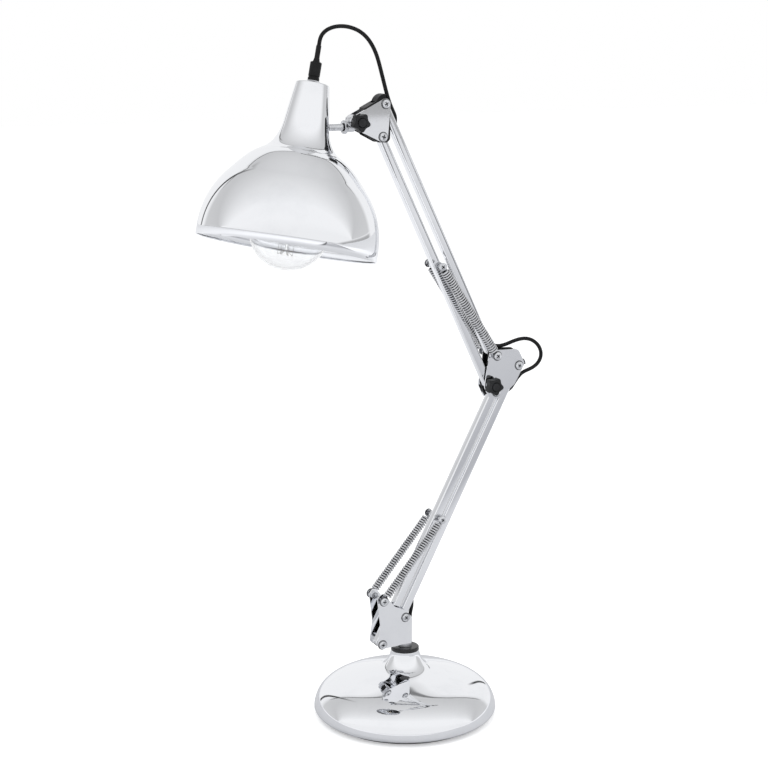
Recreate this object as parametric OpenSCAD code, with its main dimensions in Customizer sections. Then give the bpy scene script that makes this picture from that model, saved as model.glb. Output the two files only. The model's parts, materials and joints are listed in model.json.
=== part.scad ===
// Desk lamp: two pairs of square tubes that keep the head level, four springs,
// a domed weighted base and a turning shade. Millimetres, Z up, the origin at the
// middle of the base's underside, the arm in the plane Y = 0 and the head towards -X.

/* [Arm] */
// Distance between the two pivots of each tube
arm_length = 286; // [240:1:330]
// Lean of the lower arm towards +X, in degrees
lower_lean = 27.5; // [20:0.5:30]
// Lean of the upper arm towards -X, in degrees
upper_lean = 25.5; // [15:0.5:35]
// Width of the square tubes
tube_side = 8.6; // [7:0.1:9]
// Wall of the square tubes
tube_wall = 1; // [0.8:0.1:1.2]
// Distance between the two lower pivots
lower_link = 37; // [34:0.5:40]
// Distance between the two upper pivots
upper_link = 32; // [30:0.5:36]
// Diameter of the pivot bolts
bolt_d = 4; // [3:0.5:4]

/* [Springs] */
// Outer diameter of a lower spring
lower_spring_d = 9; // [8:0.5:10]
// Outer diameter of an upper spring
upper_spring_d = 10; // [9:0.5:11]
// Diameter of the wire as drawn
wire_d = 2.2; // [1.8:0.1:2.4]
// Curls of each spring as drawn
spring_curls = 17; // [12:1:18]
// Distance of a spring's centre line from the arm's middle plane
spring_offset = 14.2; // [13.6:0.1:15]

/* [Base] */
// Widest diameter of the base
base_d = 190; // [180:1:210]
// Height of the neck's top edge
neck_z = 71.5; // [70:0.5:72]
// Thickness of the base's cover
cover_wall = 1.2; // [1:0.1:1.5]
// Diameter of the cast-iron weight
weight_d = 158; // [154:1:164]

/* [Shade] */
// Diameter of the shade's rim
shade_d = 175.4; // [165:0.2:185]
// Height of the shade from its rim to the top of its neck
shade_h = 160; // [156:1:166]
// Thickness of the shade's metal
shade_wall = 1; // [0.8:0.1:1.2]
// Tip of the shade about the level cross direction, in degrees
shade_tip = 13.1; // [0:0.1:20]
// Turn of the shade about its rod, in degrees
shade_roll = 5.97; // [0:0.01:12]
// Diameter of the round bulb
globe_d = 78.8; // [70:0.2:80]

/* [Cord] */
// Diameter of the round cord
cord_d = 3.9; // [3.5:0.1:4]

/* [Hidden] */
$fn = 64;

// Colours
chrome = [0.80, 0.81, 0.83];
steel = [0.62, 0.63, 0.65];
iron = [0.22, 0.22, 0.23];
black = [0.07, 0.07, 0.08];
brass = [0.78, 0.63, 0.33];
glass = [0.93, 0.95, 0.96, 0.35];
ceramic = [0.92, 0.90, 0.86];

// Play between a turning piece and what it turns on, and small gaps
fit_play = 0.05;
gap = 0.3;
tiny = 0.01;

// Pivots, each as [x, z]: the left and right foot and top of both arms
function lean_step(length, lean) = length * [sin(lean), cos(lean)];
lower_left_foot = [-30.9, 84.1];
lower_right_foot = lower_left_foot + lean_step(lower_link, 45.6);
lower_left_top = lower_left_foot + lean_step(arm_length, lower_lean);
lower_right_top = lower_right_foot + lean_step(arm_length, lower_lean);
upper_left_foot = lower_left_top + [-6.8, 7.9];
upper_right_foot = upper_left_foot + lean_step(upper_link, 5.3);
upper_left_top = upper_left_foot + lean_step(arm_length, -upper_lean);
upper_right_top = upper_right_foot + lean_step(arm_length, -upper_lean);
tilt_pivot = upper_left_top + [-27.7, 15];
ear_hole = lower_left_foot + [-0.7, 48.4];
rod_z = tilt_pivot[1] - 4.8;

// Distances from the middle plane
bolt_r = bolt_d / 2;
half_tube = tube_side / 2;
sheet_t = 1.5;
low_plate_y = 9;
top_plate_y = 6;
washer_t = 0.8;
head_t = 1.7;
nut_t = 3;
nut_r = 3.9;
head_r = 4.2;
washer_r = 4.7;

// Places of the spring pins along the left tubes, from their feet
lower_pin_at = arm_length / 2 - 0.2;
upper_pin_at = arm_length / 2 - 1.5;
lower_pin = lower_left_foot + lean_step(lower_pin_at, lower_lean);
upper_pin = upper_left_foot + lean_step(upper_pin_at, -upper_lean);
pin_end_y = spring_offset + 1.6;
pin_flat = 0.4;

// The shade turns about a rod along X, which crosses the shade's own axis
shade_x = tilt_pivot[0] - 51.1;
rod_r = 3.4;

// Base: pad, weight and neck
pad_t = 2.5;
disc_t = 3.8;
disc_r = 14.6;
disc_top = neck_z + disc_t;
floor_z = disc_top + 5.1;
spindle_r = 4.95;
spindle_bore = 2.7;
barrel_r = 9;
barrel_z = 22;
spindle_foot = barrel_z - 3.5;
shoulder_z = 50;
shoulder_r = 12;
boss_z = 25;
weight_bottom = pad_t + cover_wall;
gland_z = 12;
gland_bore = 1.6;
gland_x = base_d / 2 + 0.1;

// Rounded outlines: each corner is [x, z, radius] and becomes a short arc
corner_steps = 5;
function unit(v) = v / norm(v);
function corner(a, p, b) =
    let (q = [p[0], p[1]], u = unit([a[0], a[1]] - q), w = unit([b[0], b[1]] - q),
        half = acos(u * w) / 2, reach = p[2] / tan(half), middle = q + unit(u + w) * p[2] / sin(half),
        from = q + u * reach, to = q + w * reach)
    [for (i = [0:corner_steps]) let (m = from + (to - from) * i / corner_steps)
        middle + unit(m - middle) * p[2]];
function rounded(path) = [for (i = [0:len(path) - 1])
    each corner(path[(i + len(path) - 1) % len(path)], path[i], path[(i + 1) % len(path)])];

// The same line moved sideways by a distance, to its left
function inset(path, by) = [for (i = [0:len(path) - 1])
    let (d = unit(path[min(i + 1, len(path) - 1)] - path[max(i - 1, 0)]))
    path[i] + by * [-d[1], d[0]]];
function reversed(path) = [for (i = [len(path) - 1:-1:0]) path[i]];
function arc(middle, rx, rz, a, b, steps) = [for (i = [0:steps])
    let (t = a + (b - a) * i / steps) middle + [rx * cos(t), rz * sin(t)]];

// Corners and cord points given from a pivot
function corners_from(at, corners) = rounded([for (c = corners) [at[0] + c[0], at[1] + c[1], c[2]]]);
function points_from(at, points) = [for (p = points) [at[0] + p[0], p[1], at[1] + p[2]]];

// A piece that stands at a pivot, with its own Z along the world's Y
module across(at, from, to, r) {
    translate([at[0], from, at[1]]) rotate([-90, 0, 0]) cylinder(h = to - from, r = r);
}
module nut(at, from, to) {
    difference() {
        translate([at[0], from, at[1]]) rotate([-90, 30, 0])
            cylinder(h = to - from, r = nut_r, $fn = 6);
        across(at, from - 1, to + 1, bolt_r);
    }
}
module sheet(outline, from, thick) {
    translate([0, from + thick, 0]) rotate([90, 0, 0])
        linear_extrude(thick) polygon(outline);
}
module both_sides(outline, from, to) {
    sheet(outline, -to, to - from);
    sheet(outline, from, to - from);
}

// Arched rib about a pivot, as deep as the mouldings
module hood(at, inner, outer, a, b) {
    sheet(concat(arc(at, outer, outer, a, b, 10), arc(at, inner, inner, b, a, 10)),
        -top_plate_y, 2 * top_plate_y);
}

// A screw along Y: washer, low head with a cross slot, and shank to the far side
module screw(at, seat, end, r = bolt_r) {
    side = sign(end - seat);
    top = seat - side * (washer_t + head_t);
    slot_w = 0.9;
    slot_l = 4.6;
    difference() {
        union() {
            across(at, min(seat, end), max(seat, end), r);
            across(at, min(seat, seat - side * washer_t), max(seat, seat - side * washer_t), washer_r);
            across(at, min(seat - side * washer_t, top), max(seat - side * washer_t, top), head_r);
        }
        for (turn = [20, 110])
            translate([at[0], top, at[1]]) rotate([0, turn, 0])
                cube([slot_l, 2, slot_w], center = true);
    }
}

// Square tube from foot to top, lying on its pivots, with rounded ends
corner_r = 1.2;
function square(side, r) = rounded([[-side / 2, -side / 2, r], [side / 2, -side / 2, r],
    [side / 2, side / 2, r], [-side / 2, side / 2, r]]);
module on_line(foot, top) {
    way = top - foot;
    translate([foot[0], 0, foot[1]]) rotate([0, atan2(way[0], way[1]), 0]) children();
}
module round_ended(length, width) {
    for (z = [0, length])
        translate([0, 0, z]) rotate([90, 0, 0])
            cylinder(h = width, d = tube_side, center = true);
    translate([0, 0, length / 2]) cube([tube_side, width, length], center = true);
}
module tube(foot, top, slots = [], pin_at = 0) {
    length = norm(top - foot);
    slot_w = cord_d + 0.8;
    bush_r = bolt_r + 1;
    on_line(foot, top) difference() {
        intersection() {
            translate([0, 0, -tube_side])
                linear_extrude(length + 2 * tube_side) polygon(square(tube_side, corner_r));
            round_ended(length, tube_side + 1);
        }
        translate([0, 0, -tube_side])
            linear_extrude(length + 2 * tube_side)
                polygon(square(tube_side - 2 * tube_wall, corner_r / 2));
        for (z = [0, length])
            translate([0, 0, z]) rotate([90, 0, 0])
                cylinder(h = 2 * tube_side, r = bush_r, center = true);
        if (pin_at > 0)
            translate([0, 0, pin_at]) rotate([90, 0, 0])
                cylinder(h = 2 * tube_side, r = bolt_r, center = true);
        for (s = slots)
            translate([0, -slot_w / 2, s[0]]) cube([tube_side, slot_w, s[1] - s[0]]);
    }
}

// Bearing plugs in both ends of a tube; their rims reach out through its side holes
module plugs(foot, top) {
    length = norm(top - foot);
    inner = tube_side - 2 * tube_wall;
    bush_r = bolt_r + 1;
    on_line(foot, top) for (z = [0, length])
        translate([0, 0, z]) difference() {
            union() {
                intersection() {
                    translate([0, 0, -half_tube])
                        linear_extrude(tube_side) polygon(square(inner, corner_r / 2));
                    rotate([90, 0, 0]) cylinder(h = tube_side, d = tube_side, center = true);
                }
                rotate([90, 0, 0]) cylinder(h = tube_side, r = bush_r, center = true);
            }
            rotate([90, 0, 0])
                cylinder(h = 2 * tube_side, r = bolt_r + fit_play, center = true);
        }
}

// Cross pin through a left tube: collars against the tube and heads outside the
// springs; each shank has a flat where the spring's end stands on it
module flat_pin(at, towards) {
    way = unit(towards - at);
    difference() {
        children();
        for (side = [-1, 1])
            translate([at[0], side * spring_offset, at[1]]) rotate([0, atan2(way[0], way[1]), 0])
                translate([-5, -wire_d / 2 - 0.1, bolt_r - pin_flat]) cube([10, wire_d + 0.2, 5]);
    }
}
module spring_pin(at, towards) {
    collar_t = 3;
    flat_pin(at, towards) union() {
        across(at, -pin_end_y, pin_end_y, bolt_r);
        for (side = [-1, 1]) {
            across(at, side > 0 ? half_tube : -half_tube - collar_t,
                side > 0 ? half_tube + collar_t : -half_tube, head_r);
            across(at, side > 0 ? pin_end_y : -pin_end_y - head_t,
                side > 0 ? pin_end_y + head_t : -pin_end_y, head_r);
        }
    }
}

// Swept round tube: rings of points about a path, square to it, as one solid.
// Each ring starts towards the path's side vector there.
function ways(path, first, last) = [for (i = [0:len(path) - 1])
    i == 0 ? unit(first) : i == len(path) - 1 ? unit(last) : unit(path[i + 1] - path[i - 1])];
function ring(p, way, side, r, n) =
    let (a = unit(side - (side * way) * way), b = cross(way, a))
    [for (k = [0:n - 1]) p + r * (cos(360 * k / n) * a + sin(360 * k / n) * b)];
module swept(path, way, sides, r, n) {
    last = len(path) - 1;
    points = [for (i = [0:last]) each ring(path[i], way[i], sides[i], r, n)];
    walls = [for (i = [0:last - 1], k = [0:n - 1])
        let (a = i * n + k, b = i * n + (k + 1) % n)
        each [[a, a + n, b], [b, a + n, b + n]]];
    foot = [for (k = [1:n - 2]) [0, k, k + 1]];
    head = [for (k = [1:n - 2]) [last * n, last * n + k + 1, last * n + k]];
    polyhedron(points = points, faces = concat(walls, foot, head));
}

// Spring: a coil whose wire comes in to the axis at both ends and stands square
rings_per_curl = 8;
ramp_curls = 0.75;
function ramp(t) = t <= 0 ? 0 : t >= 1 ? 1 : t * t * (3 - 2 * t);
function coil(length, d) =
    let (r = (d - wire_d) / 2, lead = wire_d, steps = spring_curls * rings_per_curl,
        pitch = (length - 2 * lead) / spring_curls)
    [for (i = [-1:steps + 1])
        let (t = min(max(i, 0), steps) / rings_per_curl,
            out = ramp(t / ramp_curls) * ramp((spring_curls - t) / ramp_curls),
            along = i < 0 ? 0 : i > steps ? length : lead + t * pitch)
        [r * out * cos(360 * t), r * out * sin(360 * t), along]];
function coil_sides(path) = [for (i = [0:len(path) - 1])
    let (t = 360 * min(max(i - 1, 0), len(path) - 3) / rings_per_curl) [cos(t), sin(t), 0]];
function self_gap(path, apart) = min([for (i = [0:len(path) - 1 - apart])
    min([for (j = [i + apart:len(path) - 1]) norm(path[i] - path[j])])]) - wire_d;
module spring(from, to, d, side) {
    whole = norm(to - from);
    reach = bolt_r - pin_flat;
    path = coil(whole - 2 * reach, d);
    on_line(from, to) translate([0, side * spring_offset, reach])
        swept(path, ways(path, [0, 0, 1], [0, 0, 1]), coil_sides(path), wire_d / 2, 6);
}
lower_coil = coil(norm(ear_hole - lower_pin) - 2 * (bolt_r - pin_flat), lower_spring_d);
upper_coil = coil(norm(upper_right_foot - upper_pin) - 2 * (bolt_r - pin_flat), upper_spring_d);
echo(least_gap_lower_spring = self_gap(lower_coil, 6));
echo(least_gap_upper_spring = self_gap(upper_coil, 6));

// Cord: stretches in the arm's plane have points [x, z], free loops [x, y, z]
cord_sides = 8;
module cord_piece(path, first, last) {
    way = ways(path, first, last);
    swept(path, way, [for (p = path) [0, 1, 0]], cord_d / 2, cord_sides);
}
function on_tube(foot, top, p) =
    let (u = unit(top - foot)) foot + p[1] * u + p[0] * [u[1], -u[0]];
function in_space(path) = [for (p = path) [p[0], 0, p[1]]];
function end_way(path) = path[len(path) - 1] - path[len(path) - 2];

// Stretches inside the right tubes, as [away from the tube's axis, along it]
lower_run = [[8.4, 8], [7.5, 11.8], [5.2, 16.6], [2.2, 22.4], [0.4, 29], [0, 37],
    [0, arm_length / 2], [0, arm_length - 43], [1.2, arm_length - 35.5],
    [4.4, arm_length - 28.6], [6.8, arm_length - 24], [7.6, arm_length - 20]];
upper_run = [[8.6, 4.4], [6.2, 6.4], [3.4, 10.2], [0.8, 16], [0, 22], [0, arm_length / 2],
    [0, arm_length - 37], [1.2, arm_length - 29.6], [4.2, arm_length - 22.8],
    [6.3, arm_length - 18.2], [6.9, arm_length - 14]];
lower_cord_path = in_space([for (p = lower_run) on_tube(lower_right_foot, lower_right_top, p)]);
upper_cord_path = in_space([for (p = upper_run) on_tube(upper_right_foot, upper_right_top, p)]);
lower_slots = [[9.5, 30], [arm_length - 38.5, arm_length - 22.5]];
upper_slots = [[5, 18.5], [arm_length - 33, arm_length - 15.5]];
lower_cord_start = lower_cord_path[0];
lower_cord_end = lower_cord_path[len(lower_cord_path) - 1];
upper_cord_start = upper_cord_path[0];
upper_cord_end = upper_cord_path[len(upper_cord_path) - 1];

// The shade's dome, and heights above it as shares of the way to the neck's top
dome_r = shade_d / 2;
skirt_h = 9;
dome_turn = 44;
function neck_up(share) =
    let (dome_top = skirt_h + dome_r * sin(dome_turn)) dome_top + share * (shade_h - dome_top);
rod_height = neck_up(0.518);

// The shade's own frame: its axis is Z and its rim lies at Z = 0
module on_shade() {
    translate([shade_x, 0, rod_z]) rotate([-shade_roll, 0, 0]) rotate([0, shade_tip, 0])
        translate([0, 0, -rod_height]) children();
}
function shade_way() = [sin(shade_tip), cos(shade_tip) * sin(shade_roll),
    cos(shade_tip) * cos(shade_roll)];
function on_shade_axis(h) = [shade_x, 0, rod_z] + (h - rod_height) * shade_way();

// Loops of cord that hang free between the held stretches
cord_top_h = shade_h + 38;
head_loop = concat([on_shade_axis(cord_top_h)],
    points_from(upper_right_top, [[-61.6, 9.1, 64.5], [-56.2, 9, 70.3], [-47.7, 8.2, 73.7],
        [-37.7, 7, 74.3], [-27.7, 5.6, 72.1], [-18.2, 4.2, 67], [-10.7, 2.8, 58],
        [-5.5, 1.6, 47], [-2.3, 0.8, 35], [1, 0.2, 22], [4.5, 0, 9], [7.9, 0, -1]]),
    [upper_cord_end]);
elbow_loop = concat([upper_cord_start],
    points_from(lower_right_top, [[-19.6, 0, 20.7], [-12.6, 0, 21.6], [-4.4, 0, 24.2],
        [4, 0, 26.3], [12.4, 0, 26.5], [20.8, 0, 23.7], [28.2, 0, 17.2], [31.4, 0, 9],
        [29.7, 0, 1.6], [23.8, 0, -4.5], [15.4, 0, -7.3], [7.8, 0, -9.5], [2, 0, -15.1]]),
    [lower_cord_end]);
foot_loop = concat([lower_cord_start],
    points_from(lower_right_foot, [[10.4, 0, -1.5], [10.1, 0, -6], [10.7, 0, -10.5],
        [10.3, 0, -15.4], [8.1, 0, -20.2], [5.4, 0, -24.4]]),
    [[0, 0, floor_z + sheet_t]]);
base_run = [[0, 0, floor_z + sheet_t], [0, 0, 40], [0, 0, 19], [0.9, 0, 15.9], [3.3, 0, 13.5],
    [7, 0, 12.2], [12, 0, gland_z], [50, 0, gland_z], [gland_x - 5, 0, gland_z]];

// Base
base_r = base_d / 2;
flank = [[0.4, 14], [2, 21.4], [7, 29.6], [15, 36.1], [25, 40], [35, 43]];
cover_side = concat([[base_r - 19, pad_t]],
    arc([base_r - 12.7, 9.2], 12.7, 9.2 - pad_t, -90, 0, 8),
    [for (p = flank) [base_r - p[0], p[1]]],
    [[50, 46], [40, 49], [30, 51.2], [24, 53], [20.5, 56.3], [17.7, 61], [15.8, 65],
    [15, neck_z - 3.5], [15, neck_z]]);
module base_shell() color(chrome) difference() {
    rotate_extrude() polygon(concat(cover_side, reversed(inset(cover_side, cover_wall))));
    translate([0, 0, gland_z]) rotate([0, 90, 0]) cylinder(h = base_d, r = 4.5);
}
module base_weight() color(iron) difference() {
    rotate_extrude() polygon([[13, weight_bottom], [weight_d / 2, weight_bottom],
        [weight_d / 2, 20], [weight_d / 2 - 4, 24], [24, 27], [18, 32], [15, 38],
        [15, shoulder_z], [barrel_r, shoulder_z], [barrel_r, boss_z], [13, boss_z]]);
    translate([0, -5, weight_bottom - 1]) cube([base_d, 10, gland_z + 5]);
}
module base_pad() color(black) cylinder(h = pad_t, r = base_r - 14);
module neck_bush() color(black) difference() {
    union() {
        translate([0, 0, barrel_z]) cylinder(h = shoulder_z - barrel_z, r = barrel_r);
        translate([0, 0, shoulder_z]) cylinder(h = neck_z - shoulder_z, r = shoulder_r);
        translate([0, 0, neck_z]) cylinder(h = disc_t, r = disc_r);
    }
    translate([0, 0, barrel_z - 1]) cylinder(h = disc_top, r = spindle_r + fit_play);
}
module bush_nut() color(steel) difference() {
    translate([0, 0, barrel_z]) cylinder(h = boss_z - barrel_z, r = 12, $fn = 6);
    translate([0, 0, barrel_z - 1]) cylinder(h = 7, r = barrel_r);
}
module cord_gland() color(black) {
    translate([0, 0, gland_z]) rotate([0, 90, 0]) difference() {
        union() {
            translate([0, 0, gland_x - 5]) cylinder(h = 2, r = 5.6);
            translate([0, 0, gland_x - 3]) cylinder(h = 3, r = 4.4);
            translate([0, 0, gland_x]) cylinder(h = 2.5, r = 6);
        }
        translate([0, 0, gland_x - 6]) cylinder(h = 10, r = gland_bore);
    }
}
module base_cord() color(black)
    swept(base_run, ways(base_run, [0, 0, -1], [1, 0, 0]), [for (p = base_run) [0, 1, 0]],
        cord_d / 2, cord_sides);

// Base bracket: a sheet folded into two side plates, a rear web and a floor
base_plate = rounded([[-36.6, 134, 3], [-30.5, 141, 4], [-17.5, 123.5, 10], [-3.5, 117, 5],
    [3, 109, 4], [3, 82.8, 1.5], [-14, 80.4, 3], [-36.6, 79.2, 5], [-33, 104, 14]]);
module base_bracket() color(chrome) difference() {
    web_top = 99;
    union() {
        sheet(base_plate, -low_plate_y - sheet_t, sheet_t);
        sheet(base_plate, low_plate_y, sheet_t);
        translate([3 - sheet_t, -low_plate_y, floor_z])
            cube([sheet_t, 2 * low_plate_y, web_top - floor_z]);
        translate([-19, -low_plate_y, floor_z]) cube([22, 2 * low_plate_y, sheet_t]);
        translate([0, 0, floor_z]) cylinder(h = sheet_t, r = 7);
    }
    for (at = [lower_left_foot, lower_right_foot, ear_hole]) across(at, -12, 12, bolt_r);
    translate([0, 0, floor_z - 1]) cylinder(h = 4, r = spindle_r - 1);
    translate([1, -3, floor_z + 2]) cube([3, 6, 14]);
}
module spindle() color(steel) difference() {
    union() {
        translate([0, 0, spindle_foot]) cylinder(h = floor_z - spindle_foot, r = spindle_r);
        translate([0, 0, floor_z - tiny]) cylinder(h = sheet_t + tiny, r = spindle_r - 1);
        translate([0, 0, disc_top + gap]) cylinder(h = floor_z - disc_top - gap, r = 7);
    }
    translate([0, 0, 0]) cylinder(h = floor_z + 5, r = spindle_bore);
    translate([0, 0, barrel_z - 1.8]) difference() {
        cylinder(h = 1.4, r = 6);
        translate([0, 0, -1]) cylinder(h = 4, r = 4);
    }
}
module spindle_clip() color(steel) translate([0, 0, barrel_z - 1.7]) difference() {
    cylinder(h = 1.2, r = 8);
    translate([0, 0, -1]) cylinder(h = 4, r = 4);
    translate([0, -3, -1]) cube([9, 6, 4]);
}
module base_bolts() color(steel) for (at = [lower_left_foot, lower_right_foot])
    screw(at, -low_plate_y - sheet_t, low_plate_y + sheet_t + nut_t + 1);
module base_nuts() color(steel) {
    for (at = [lower_left_foot, lower_right_foot])
        nut(at, low_plate_y + sheet_t, low_plate_y + sheet_t + nut_t);
    nut(ear_hole, -low_plate_y, -low_plate_y + nut_t);
    nut(ear_hole, low_plate_y - nut_t, low_plate_y);
}
module base_spacers() color(steel) for (at = [lower_left_foot, lower_right_foot], side = [-1, 1])
    difference() {
        across(at, side > 0 ? half_tube + fit_play : -low_plate_y,
            side > 0 ? low_plate_y : -half_tube - fit_play, 4.1);
        across(at, -low_plate_y - 1, low_plate_y + 1, bolt_r);
    }
module ear_screws() color(steel) for (side = [-1, 1])
    flat_pin(ear_hole, lower_pin)
        screw(ear_hole, side * pin_end_y, side * (low_plate_y - nut_t));

// Lower arm
module lower_springs() color(steel) for (side = [-1, 1])
    spring(lower_pin, ear_hole, lower_spring_d, side);
module lower_spring_pin() color(steel) spring_pin(lower_pin, ear_hole);

// Elbow bracket: two plates with a black moulding between them
elbow_plate = corners_from(lower_left_top, [[-14, 6.2, 6], [-7.7, -6.8, 5], [3.8, -7.3, 5],
    [21.8, 6.7, 4], [28.8, 19.2, 6], [33.4, 27.7, 4.5], [25.3, 43, 5], [-8.1, 44.6, 4.6]]);
elbow_cheek = corners_from(lower_left_top, [[-11.8, 8, 5], [-7.2, -5.4, 5], [3.6, -6, 5],
    [21.3, 7.4, 4], [28.8, 19.2, 6], [33.2, 27.7, 4.5], [25.3, 43, 5], [-8.9, 45.2, 4.6]]);
module drilled(holes, r) {
    difference() {
        children();
        for (at = holes) across(at, -20, 20, r);
    }
}
elbow_holes = [lower_left_top, lower_right_top, upper_left_foot, upper_right_foot];
module elbow_plates() color(chrome) drilled(elbow_holes, bolt_r)
    both_sides(elbow_plate, top_plate_y, top_plate_y + sheet_t);
cheek_in = half_tube + 0.1;
module elbow_core() color(black) drilled(elbow_holes, bolt_r) {
    both_sides(elbow_cheek, cheek_in, top_plate_y);
    sheet(corners_from(lower_left_top, [[4.8, 29.2, 1], [19.3, 31.7, 2], [17.8, 41.2, 2],
        [4.8, 41.7, 1]]), -top_plate_y, 2 * top_plate_y);
    hood(lower_right_top, 5.6, 8.8, 2, 44);
}
module elbow_screws() color(steel) for (at = [lower_left_top, lower_right_top])
    screw(at, -top_plate_y - sheet_t, top_plate_y + sheet_t + nut_t + 1);
module elbow_nuts() color(steel)
    for (at = [lower_left_top, lower_right_top, upper_left_foot, upper_right_foot])
        nut(at, top_plate_y + sheet_t, top_plate_y + sheet_t + nut_t);
module spring_bolt() color(steel) flat_pin(upper_right_foot, upper_pin)
    union() {
        screw(upper_right_foot, -pin_end_y, pin_end_y);
        across(upper_right_foot, pin_end_y, pin_end_y + head_t, head_r);
        across(upper_right_foot, -top_plate_y - sheet_t - 2, -top_plate_y - sheet_t, head_r);
    }
module upper_springs() color(steel) for (side = [-1, 1])
    spring(upper_pin, upper_right_foot, upper_spring_d, side);
module upper_spring_pin() color(steel) spring_pin(upper_pin, upper_right_foot);

// Star knob on a clamp bolt, with its washer
knob_back = top_plate_y + sheet_t + 3.2;
knob_face = 19.5;
knob_waist = 8.6;
knob_lobe = 0.7;
module clamp_bolt(at, side_nut) {
    rear = top_plate_y + sheet_t;
    across(at, -knob_face + 2.5, rear + (side_nut ? nut_t + 1 : 2.2), bolt_r);
    if (!side_nut) across(at, rear, rear + 2.2, head_r);
}
module knob_washer(at) color(steel) difference() {
    across(at, -top_plate_y - sheet_t - washer_t, -top_plate_y - sheet_t, 5.6);
    across(at, -20, 0, bolt_r);
}
module knob(at) color(black) difference() {
    union() {
        translate([at[0], -knob_back, at[1]]) rotate([90, 0, 0])
            linear_extrude(knob_face - knob_back) polygon([for (a = [0:5:355])
                (knob_waist + knob_lobe * cos(5 * a)) * [cos(a), sin(a)]]);
        across(at, -knob_face - 0.8, -knob_face, 4.6);
        across(at, -knob_back, -top_plate_y - sheet_t - washer_t - fit_play, 4.8);
    }
    across(at, -knob_face + 2, 0, bolt_r + fit_play);
}

// Head bracket
nose_r = 6.8;
head_end_r = 5.3;

// Outline of a belt round three circles, each given as [middle, radius], anticlockwise
function belt_turn(a, b) =
    let (way = b[0] - a[0]) atan2(way[1], way[0]) - acos((a[1] - b[1]) / norm(way));
function belt(rounds) = [for (i = [0:2])
    let (here = rounds[i], from = belt_turn(rounds[(i + 2) % 3], here),
        to = belt_turn(here, rounds[(i + 1) % 3]))
    each arc(here[0], here[1], here[1], from, to < from ? to + 360 : to, 6)];
head_plate = belt([[tilt_pivot, nose_r], [upper_left_top, head_end_r], [upper_right_top, head_end_r]]);
head_holes = [upper_left_top, upper_right_top, tilt_pivot];
module head_plates() color(chrome) drilled(head_holes, bolt_r)
    both_sides(head_plate, top_plate_y, top_plate_y + sheet_t);
module head_core() color(black) drilled(head_holes, bolt_r) {
    both_sides(corners_from(upper_left_top, [[-19.3, 28.2, 0.8], [1.6, 38.6, 5], [8.3, 35.6, 5],
        [8.3, -6, 5], [-4.5, -5.2, 4], [-19.3, 2.5, 1.5]]), cheek_in, top_plate_y);
    sheet(corners_from(upper_left_top, [[-19.3, 28.2, 0.8], [-7.7, 34, 1.5], [-7.7, 0, 1.5],
        [-19.3, 5, 1.5]]), -top_plate_y, 2 * top_plate_y);
    hood(upper_right_top, 5.2, 9.5, 81, 166);
}
module head_screws() color(steel) for (at = [upper_left_top, upper_right_top])
    screw(at, -top_plate_y - sheet_t, top_plate_y + sheet_t + nut_t + 1);
module head_nuts() color(steel) for (at = [upper_left_top, upper_right_top])
    nut(at, top_plate_y + sheet_t, top_plate_y + sheet_t + nut_t);

// Swivel: a knuckle between the head plates, drawn out into a level rod
knuckle_r = 7;
rod_end = shade_x + 15.5;
module along_rod(from, to, r1, r2) {
    translate([from, 0, rod_z]) rotate([0, 90, 0]) cylinder(h = to - from, r1 = r1, r2 = r2);
}
module knuckle() color(chrome) drilled([tilt_pivot], bolt_r + fit_play) union() {
    across(tilt_pivot, -top_plate_y + 0.1, top_plate_y - 0.1, knuckle_r);
    along_rod(rod_end, tilt_pivot[0] - 2, rod_r, rod_r);
    along_rod(tilt_pivot[0] - 9, tilt_pivot[0] - 1, 5, 5);
}
collar_x = tilt_pivot[0] - 9;
module rod_collar() color(chrome) difference() {
    along_rod(collar_x - 3, collar_x, 6.7, 6.7);
    along_rod(collar_x - 5, collar_x + 5, rod_r, rod_r);
}
module rod_nut() color(steel) difference() {
    translate([rod_end + 0.8, 0, rod_z]) rotate([0, 90, 0]) cylinder(h = 2.6, r = 6, $fn = 6);
    along_rod(rod_end - 2, rod_end + 9, rod_r, rod_r);
}

// Shade: a deep dome with a shoulder that flares into a tapered neck
neck_line = [[54.5, 0.119], [47.3, 0.192], [39.4, 0.245], [31.8, 0.312], [26.7, 0.389],
    [23.3, 0.478], [20.7, 0.656], [18.8, 0.8], [17.1, 0.922], [16.2, 0.982]];
shade_side = concat([[dome_r, 0]], arc([0, skirt_h], dome_r, dome_r, 0, dome_turn, 11),
    [for (p = neck_line) [p[0], neck_up(p[1])]], [[14.6, shade_h], [5, shade_h]]);
module shade() color(chrome) difference() {
    on_shade() rotate_extrude()
        polygon(concat(shade_side, reversed(inset(shade_side, shade_wall))));
    along_rod(shade_x, tilt_pivot[0], rod_r + fit_play, rod_r + fit_play);
}

// Cord grip above the neck, the threaded nipple below it and the cord inside both
grip_h = shade_h + 2.4;
module ring_piece(from, to, outer, inner) {
    translate([0, 0, from]) difference() {
        cylinder(h = to - from, r = outer);
        translate([0, 0, -1]) cylinder(h = to - from + 2, r = inner);
    }
}
nipple_r = 5;
nipple_bore = 2.6;
holder_top = rod_height - 8.6;
holder_foot = holder_top - 40;
nipple_foot = holder_top - 4;
nipple_top = shade_h + 9;
module cord_grip() color(black) on_shade() difference() {
    union() {
        translate([0, 0, grip_h]) cylinder(h = 18, r = 5.6);
        translate([0, 0, grip_h]) cylinder(h = cord_top_h - grip_h - 1, r = 2.5);
    }
    translate([0, 0, grip_h - 1]) cylinder(h = nipple_top - grip_h + 1, r = nipple_r);
    translate([0, 0, grip_h - 1]) cylinder(h = 60, r = cord_d / 2);
}
module grip_washer() color(steel) on_shade() ring_piece(shade_h, grip_h, 7, nipple_r);
module shade_cord() color(black) on_shade()
    translate([0, 0, nipple_foot - 2]) cylinder(h = cord_top_h - nipple_foot + 2, r = cord_d / 2);
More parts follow.
